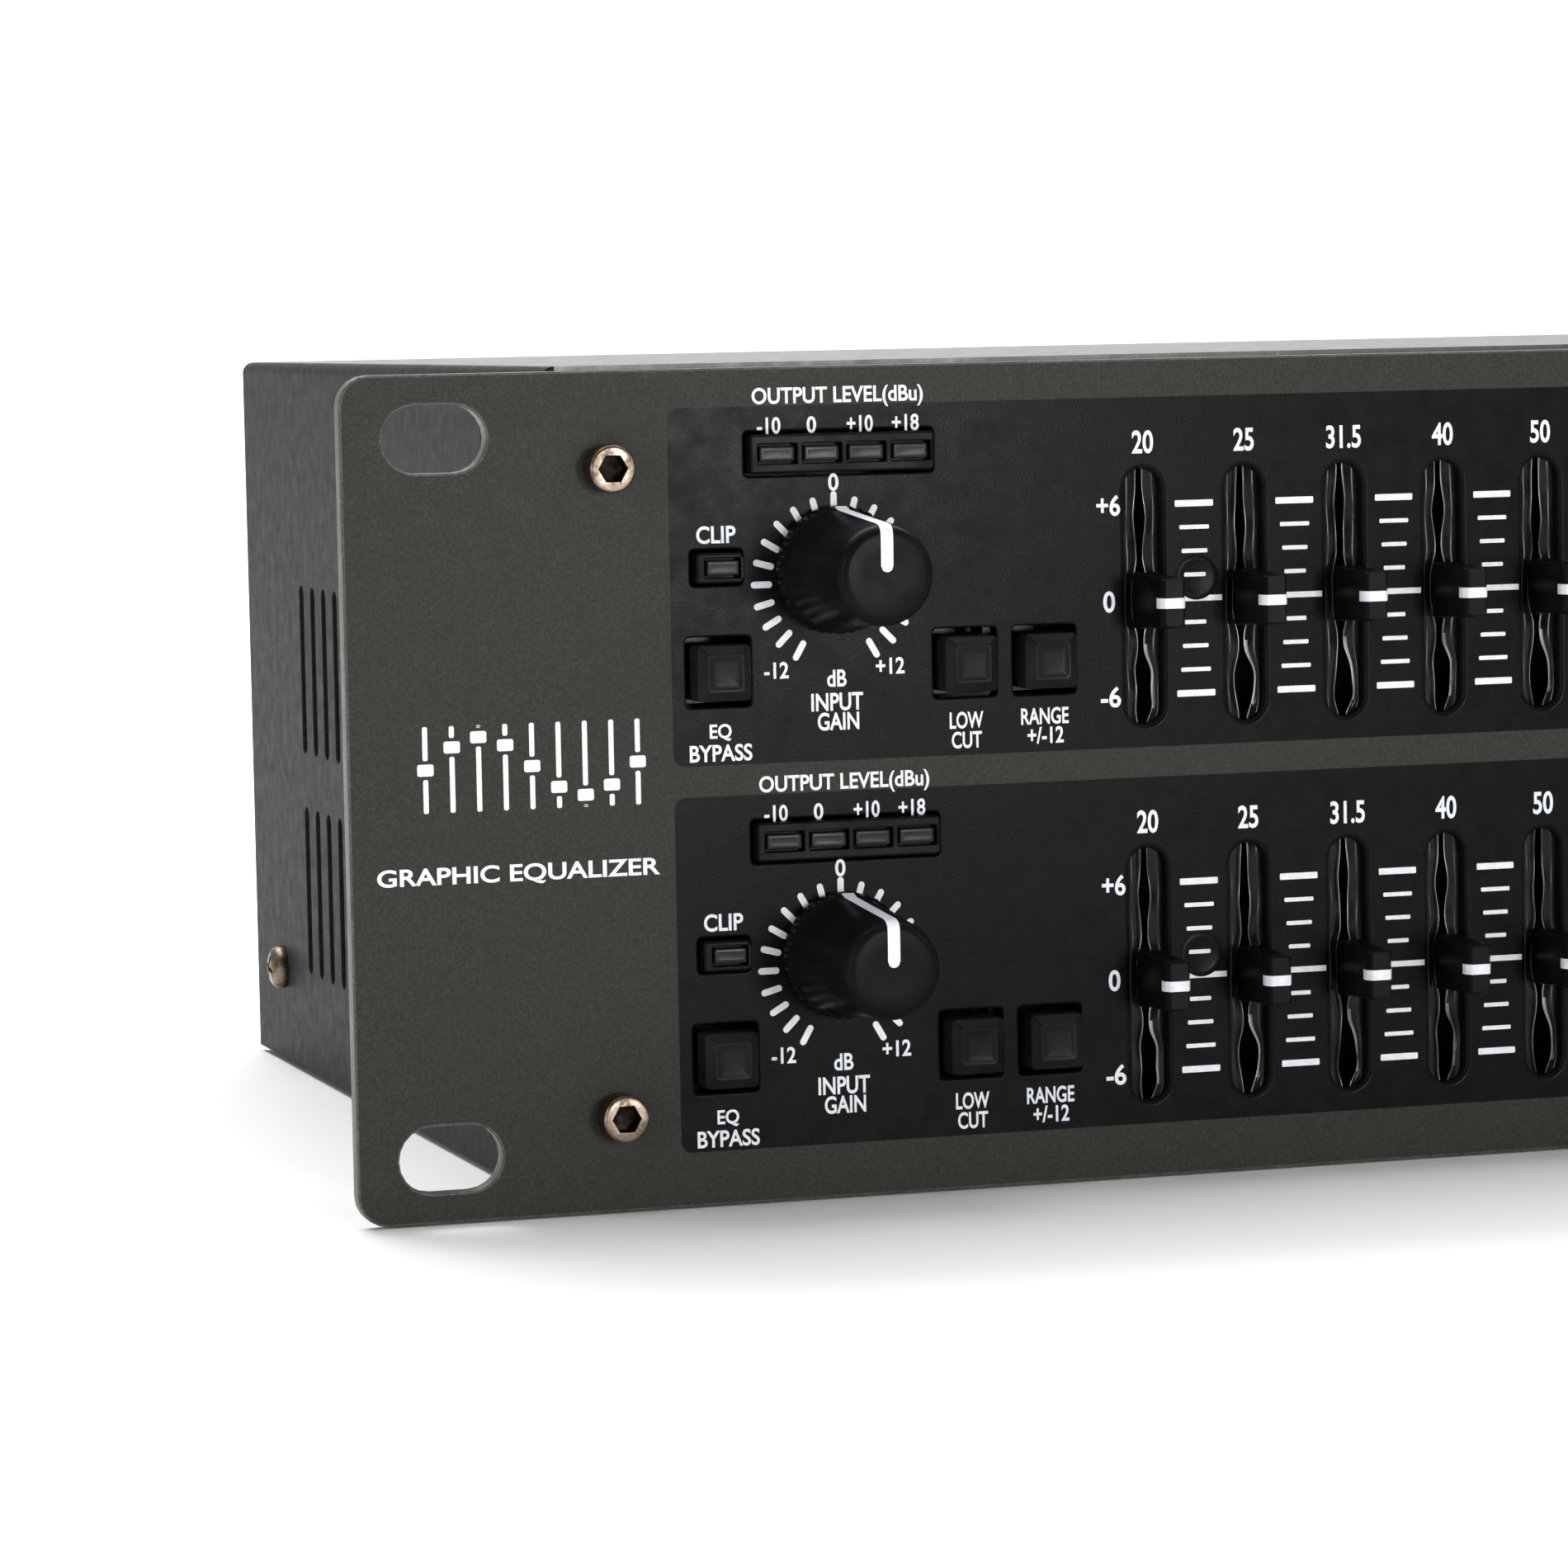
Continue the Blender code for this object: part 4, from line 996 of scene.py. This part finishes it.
def make_xlr(name, centre, pins):
    """A flanged XLR socket: two screws and a round shell, with pins, or with holes and a latch tab."""
    bm = bmesh.new()
    flange = growing_rectangle(centre, XLR_FLANGE, 2.5)
    bore = growing_circle(centre, 8.1 if pins else 9.4)
    front = WALL + 1.9
    add_well(bm, flange, 0.4, bore, 0.35, (front, WALL + 0.05, WALL - 9.5))
    for side in (-1, 1):
        add_screw_head(bm, (centre[0] - side * 8.7, centre[1] + side * 12.1), front - 0.05, 1.7, 1)
    spots = arc(centre, XLR_PIN_CIRCLE, 90, 330, 2)
    if pins:
        for spot in spots:
            add_pin(bm, spot, WALL - 9.6, WALL + 0.6, 1.2, 2)
    else:
        holes = [(growing_circle(spot, 1.5), 0.2) for spot in spots]
        insert = growing_circle(centre, 7.2)
        add_plate(bm, insert, 0.3, holes, WALL + 1.2, WALL - 6.0)
        tab = (centre[0], centre[1] + 12.2)
        sections = ((front - 0.1, 5.4, 3.4, 0.6), (front + 0.5, 5.2, 3.2, 0.6), (front + 0.75, 4.4, 2.4, 0.5))
        add_loft(bm, tab, sections, 1)
    finish_mesh(name, bm, "case", (BLACK_PLASTIC, STEEL, BRASS), 35)


def make_jack(name, centre):
    """A jack bushing with its hexagonal nut and washer."""
    bm = bmesh.new()
    tip = node_box("socket_board_1")[1].y
    nut_front, seat = tip - 0.4, WALL + 0.45
    washer = ((WALL + 0.02, 4.7), (WALL + 0.02, 5.6), (WALL + 0.4, 5.6), (seat, 5.45), (seat, 4.7))
    add_rings(bm, [placed(circle(centre, r, 40), level) for level, r in washer], 1)
    nut = ((seat, 5.4), (tip - 0.6, 5.4), (nut_front, 5.15))
    add_rings(bm, [placed(circle(centre, r, 6), level) for level, r in nut], 1)
    add_fill(bm, [circle(centre, nut[-1][1], 6), circle(centre, 4.5)], nut_front, index=1)
    sleeve = ((nut_front, 4.5), (tip - 0.15, 4.5), (tip, 4.3), (tip, 3.45), (tip - 0.2, 3.2))
    sleeve += ((WALL - 16, 3.2),)
    add_rings(bm, [placed(circle(centre, r, 32), level) for level, r in sleeve], 0, (False, True))
    finish_mesh(name, bm, "case", (BLACK_PLASTIC, STEEL), 35)


def make_socket_rows():
    for n in CHANNELS:
        zero = node_box(f"socket_board_{n}")[0].x + SOCKET_BOARD_MARGIN - JACK_OFFSETS[-1]
        make_xlr(f"output_socket_{n}", (zero + OUTPUT_OFFSET, REAR_Z), True)
        make_xlr(f"input_socket_{n}", (zero + INPUT_OFFSET, REAR_Z), False)
        for k, offset in enumerate(JACK_OFFSETS, 1):
            make_jack(f"jack_{n}_{k}", (zero + offset, REAR_Z))


def make_inlet():
    """The mains inlet: a flange with two screws, a shaped cavity and three flat pins."""
    low, high = node_box("mains_inlet")
    centre, outer = face_middle(low, high), high.y
    bm = bmesh.new()
    flange = growing_rectangle(centre, face_size(low, high), 3.0)
    cavity = growing_rectangle(centre, (24.2, 16.6), 2.5)
    add_well(bm, flange, 0.5, cavity, 0.4, (outer, WALL + 0.25, WALL - 13.5))
    body = rectangle(centre, (27.0, 20.0), 1.5)
    add_rings(bm, [placed(body, level) for level in (WALL + 0.2, low.y)], close=(False, True))
    blade = ((WALL - 13.6, 2.0, 4.0, 0.3), (outer - 3.2, 2.0, 4.0, 0.3), (outer - 2.6, 1.2, 3.2, 0.25))
    for x, z in ((-7.0, -1.2), (7.0, -1.2), (0.0, 2.8)):
        add_loft(bm, (centre[0] + x, centre[1] + z), blade, 1)
    for side in (-1, 1):
        add_screw_head(bm, (centre[0] + side * 20.0, centre[1]), outer - 0.05, 2.6, 1)
    finish_mesh("inlet_socket", bm, "case", (BLACK_PLASTIC, STEEL), 35, ("mains_inlet",))


def make_switch():
    """The rocker switch: a rounded frame and a rocker whose two ends carry a stroke and a ring."""
    low, high = node_box("power_switch_frame")
    centre, outer = face_middle(low, high), high.y
    bm = bmesh.new()
    frame = growing_rectangle(centre, face_size(low, high), 1.4)
    window = growing_rectangle(centre, (16.6, 10.6), 0.5)
    add_well(bm, frame, 0.5, window, 0.35, (outer, WALL + 0.25, WALL - 9.0))
    body = rectangle(centre, (19.0, 13.0), 0.8)
    add_rings(bm, [placed(body, level) for level in (WALL + 0.2, low.y)], close=(False, True))
    finish_mesh("switch_frame", bm, "case", (BLACK_PLASTIC,), 35, ("power_switch_frame",))

    # the rocker's section, as (height, reach) about its pivot, pulled in at both ends
    pivot = (centre[0], WALL - 1.5, centre[1])
    section = ((-4.25, 1.1), (-4.15, 1.9), (-3.9, 2.3), (-2.0, 2.42), (0.0, 2.8), (2.0, 3.22), (3.75, 3.75))
    section += ((4.1, 3.5), (4.3, 2.6), (4.0, -0.6), (1.5, -4.5), (-1.5, -4.5))
    half = 7.8
    ends = ((-half, 0.35), (-half + 0.1, 0.12), (-half + 0.4, 0.0))
    rings = []
    for x, shrink in ends + tuple((-x, shrink) for x, shrink in reversed(ends)):
        pulled = [(z, y, 1 - shrink / math.hypot(z, y)) for z, y in section]
        rings.append([(pivot[0] + x, pivot[1] + y * s, pivot[2] + z * s) for z, y, s in pulled])
    bm = bmesh.new()
    add_rings(bm, rings, close=(True, True))
    finish_mesh("rocker_cap", bm, "power_rocker", (BLACK_PLASTIC,), 40, ("power_rocker",))

    marks = bmesh.new()
    stroke = ((-0.3, -2.9, 2.36), (0.3, -2.9, 2.36), (0.3, -1.1, 2.6), (-0.3, -1.1, 2.6))
    add_face(marks, [(pivot[0] + x, pivot[1] + y + MARK_LIFT, pivot[2] + z) for x, z, y in stroke])
    rise, reach, slope, steps = 2.0, 3.24, 0.25, 28
    rings = [
        [
            (pivot[0] + x, pivot[1] + reach + z * slope + MARK_LIFT, pivot[2] + rise + z)
            for x, z in circle((0, 0), radius, steps)
        ]
        for radius in (1.15, 0.85)
    ]
    add_rings(marks, rings)
    finish_mesh("rocker_marks", marks, "power_rocker", (WHITE_INK,), 0)


def dress_frame():
    """Procedural finishes for the CAD nodes that still show."""
    finishes = {
        "chassis_tray": CASE_PAINT, "channel_board_1": BOARD, "channel_board_2": BOARD, "main_board": BOARD,
        "mains_transformer": SOCKET_SHADE_AND_DARK_METAL, "socket_board_1": BLACK_PLASTIC, "socket_board_2": BLACK_PLASTIC,
    }
    for name, surface in finishes.items():
        mesh = bpy.data.objects[name].data
        mesh.materials.clear()
        mesh.materials.append(surface)


# ---------------------------------------------------------------- room, lights and camera


def stage_material(name, colour):
    nodes = Nodes(name)
    cloud = nodes.span(nodes.noise(3, 2), 0.3, 0.7, 0, 1)
    nodes.join("Base Color", nodes.mix(cloud, tuple(c * 0.99 for c in colour), colour))
    nodes.join("Roughness", 0.9)
    nodes.join("Specular IOR Level", 0.0)
    return nodes.material


def make_floor():
    """A pale floor that sweeps up behind the object, in metres."""
    rear, sweep, steps = 2.0, 1.2, 12
    profile = [(-4.0, 0.0), (rear, 0.0)]
    for k in range(1, steps + 1):
        angle = math.pi / 2 * k / steps
        profile.append((rear + sweep * math.sin(angle), sweep - sweep * math.cos(angle)))
    profile.append((rear + sweep, 4.0))
    bm = bmesh.new()
    rows = [[bm.verts.new((x, y, z - 0.0002)) for y, z in profile] for x in (-5.0, 6.0)]
    for i in range(len(profile) - 1):
        bm.faces.new((rows[0][i], rows[1][i], rows[1][i + 1], rows[0][i + 1]))
    floor = link_mesh("floor", bm)
    floor.data.shade_smooth()
    floor.data.materials.append(stage_material("floor_pale", (0.92, 0.92, 0.92)))


def add_light(name, place, target, size, power, spread=180):
    light = bpy.data.lights.new(name, "AREA")
    light.shape = "RECTANGLE"
    light.size, light.size_y = size
    light.energy = power
    light.spread = math.radians(spread)
    item = bpy.data.objects.new(name, light)
    item.location = place
    item.rotation_euler = (Vector(target) - Vector(place)).to_track_quat("-Z", "Y").to_euler()
    bpy.context.scene.collection.objects.link(item)


def make_world():
    """Soft room light: bright behind the object, dim in front of it."""
    world = bpy.data.worlds.new("studio")
    bpy.context.scene.world = world
    world.use_nodes = True
    tree = world.node_tree
    back = tree.nodes["Background"]
    coords = tree.nodes.new("ShaderNodeTexCoord")
    split = tree.nodes.new("ShaderNodeSeparateXYZ")
    span = tree.nodes.new("ShaderNodeMapRange")
    tree.links.new(coords.outputs["Generated"], split.inputs["Vector"])
    tree.links.new(split.outputs["Y"], span.inputs["Value"])
    for key, number in (("From Min", -0.4), ("From Max", 0.6), ("To Min", 0.05), ("To Max", 0.8)):
        span.inputs[key].default_value = number
    tree.links.new(span.outputs["Result"], back.inputs["Strength"])
    back.inputs["Color"].default_value = (1, 1, 1, 1)


def make_lights():
    add_light("key", (0.12, -1.3, 0.14), (-0.15, 0, 0.05), (0.22, 0.28), 6.5)
    add_light("right", (1.2, -1.0, 0.7), (-0.1, 0, 0.05), (0.5, 0.5), 4)
    add_light("side", (-1.3, 0.25, 0.55), (-0.2, 0.05, 0.05), (0.9, 0.8), 0.2)
    add_light("top", (0.0, 0.5, 1.6), (0.0, 0.4, 0.0), (2.4, 2.0), 34)
    add_light("lip_strip", (-1.2, -0.75, 0.25), (-0.1, 0, 0.05), (0.12, 0.8), 4)
    add_light("floor_wash", (0.3, 1.6, 1.7), (0.3, 1.2, 0.0), (3.0, 1.5), 70)
    add_light("front_wash", (0.0, -3.0, 1.6), (0.0, -3.2, 0.0), (3.0, 1.5), 40, spread=110)


def make_camera():
    lens = bpy.data.cameras.new("camera")
    lens.lens, lens.sensor_width = CAMERA_LENS, 36.0
    lens.clip_start, lens.clip_end = 0.01, 50.0
    camera = bpy.data.objects.new("camera", lens)
    turn = Matrix.Rotation(math.radians(-CAMERA_AZIMUTH), 4, "Z")
    tip = Matrix.Rotation(math.radians(90 + CAMERA_ELEVATION), 4, "X")
    roll = Matrix.Rotation(math.radians(CAMERA_ROLL), 4, "Z")
    camera.matrix_world = Matrix.Translation(CAMERA_PLACE) @ turn @ tip @ roll
    bpy.context.scene.collection.objects.link(camera)
    bpy.context.scene.camera = camera
    bpy.context.scene.view_settings.view_transform = "Standard"


make_panel()
make_stud_marks()
make_mark()
make_faders()
for channel in CHANNELS:
    make_channel_print(channel)
    make_knob(channel)
    for button_name in BUTTONS:
        make_button(button_name, channel)
    make_lamps(f"level_meter_{channel}", [across(x) for x in METER_LENSES], METER_LENS)
    make_lamps(f"clip_lamp_{channel}", [across(x) for x in CLIP_LENSES], CLIP_LENS)
    make_seals(channel)
make_cover()
for bolt in bolt_names():
    make_bolt(bolt)
make_side_screw("side_screw_left", -1)
make_side_screw("side_screw_right", 1)
make_socket_rows()
make_inlet()
make_switch()
dress_frame()
make_floor()
make_world()
make_lights()
make_camera()
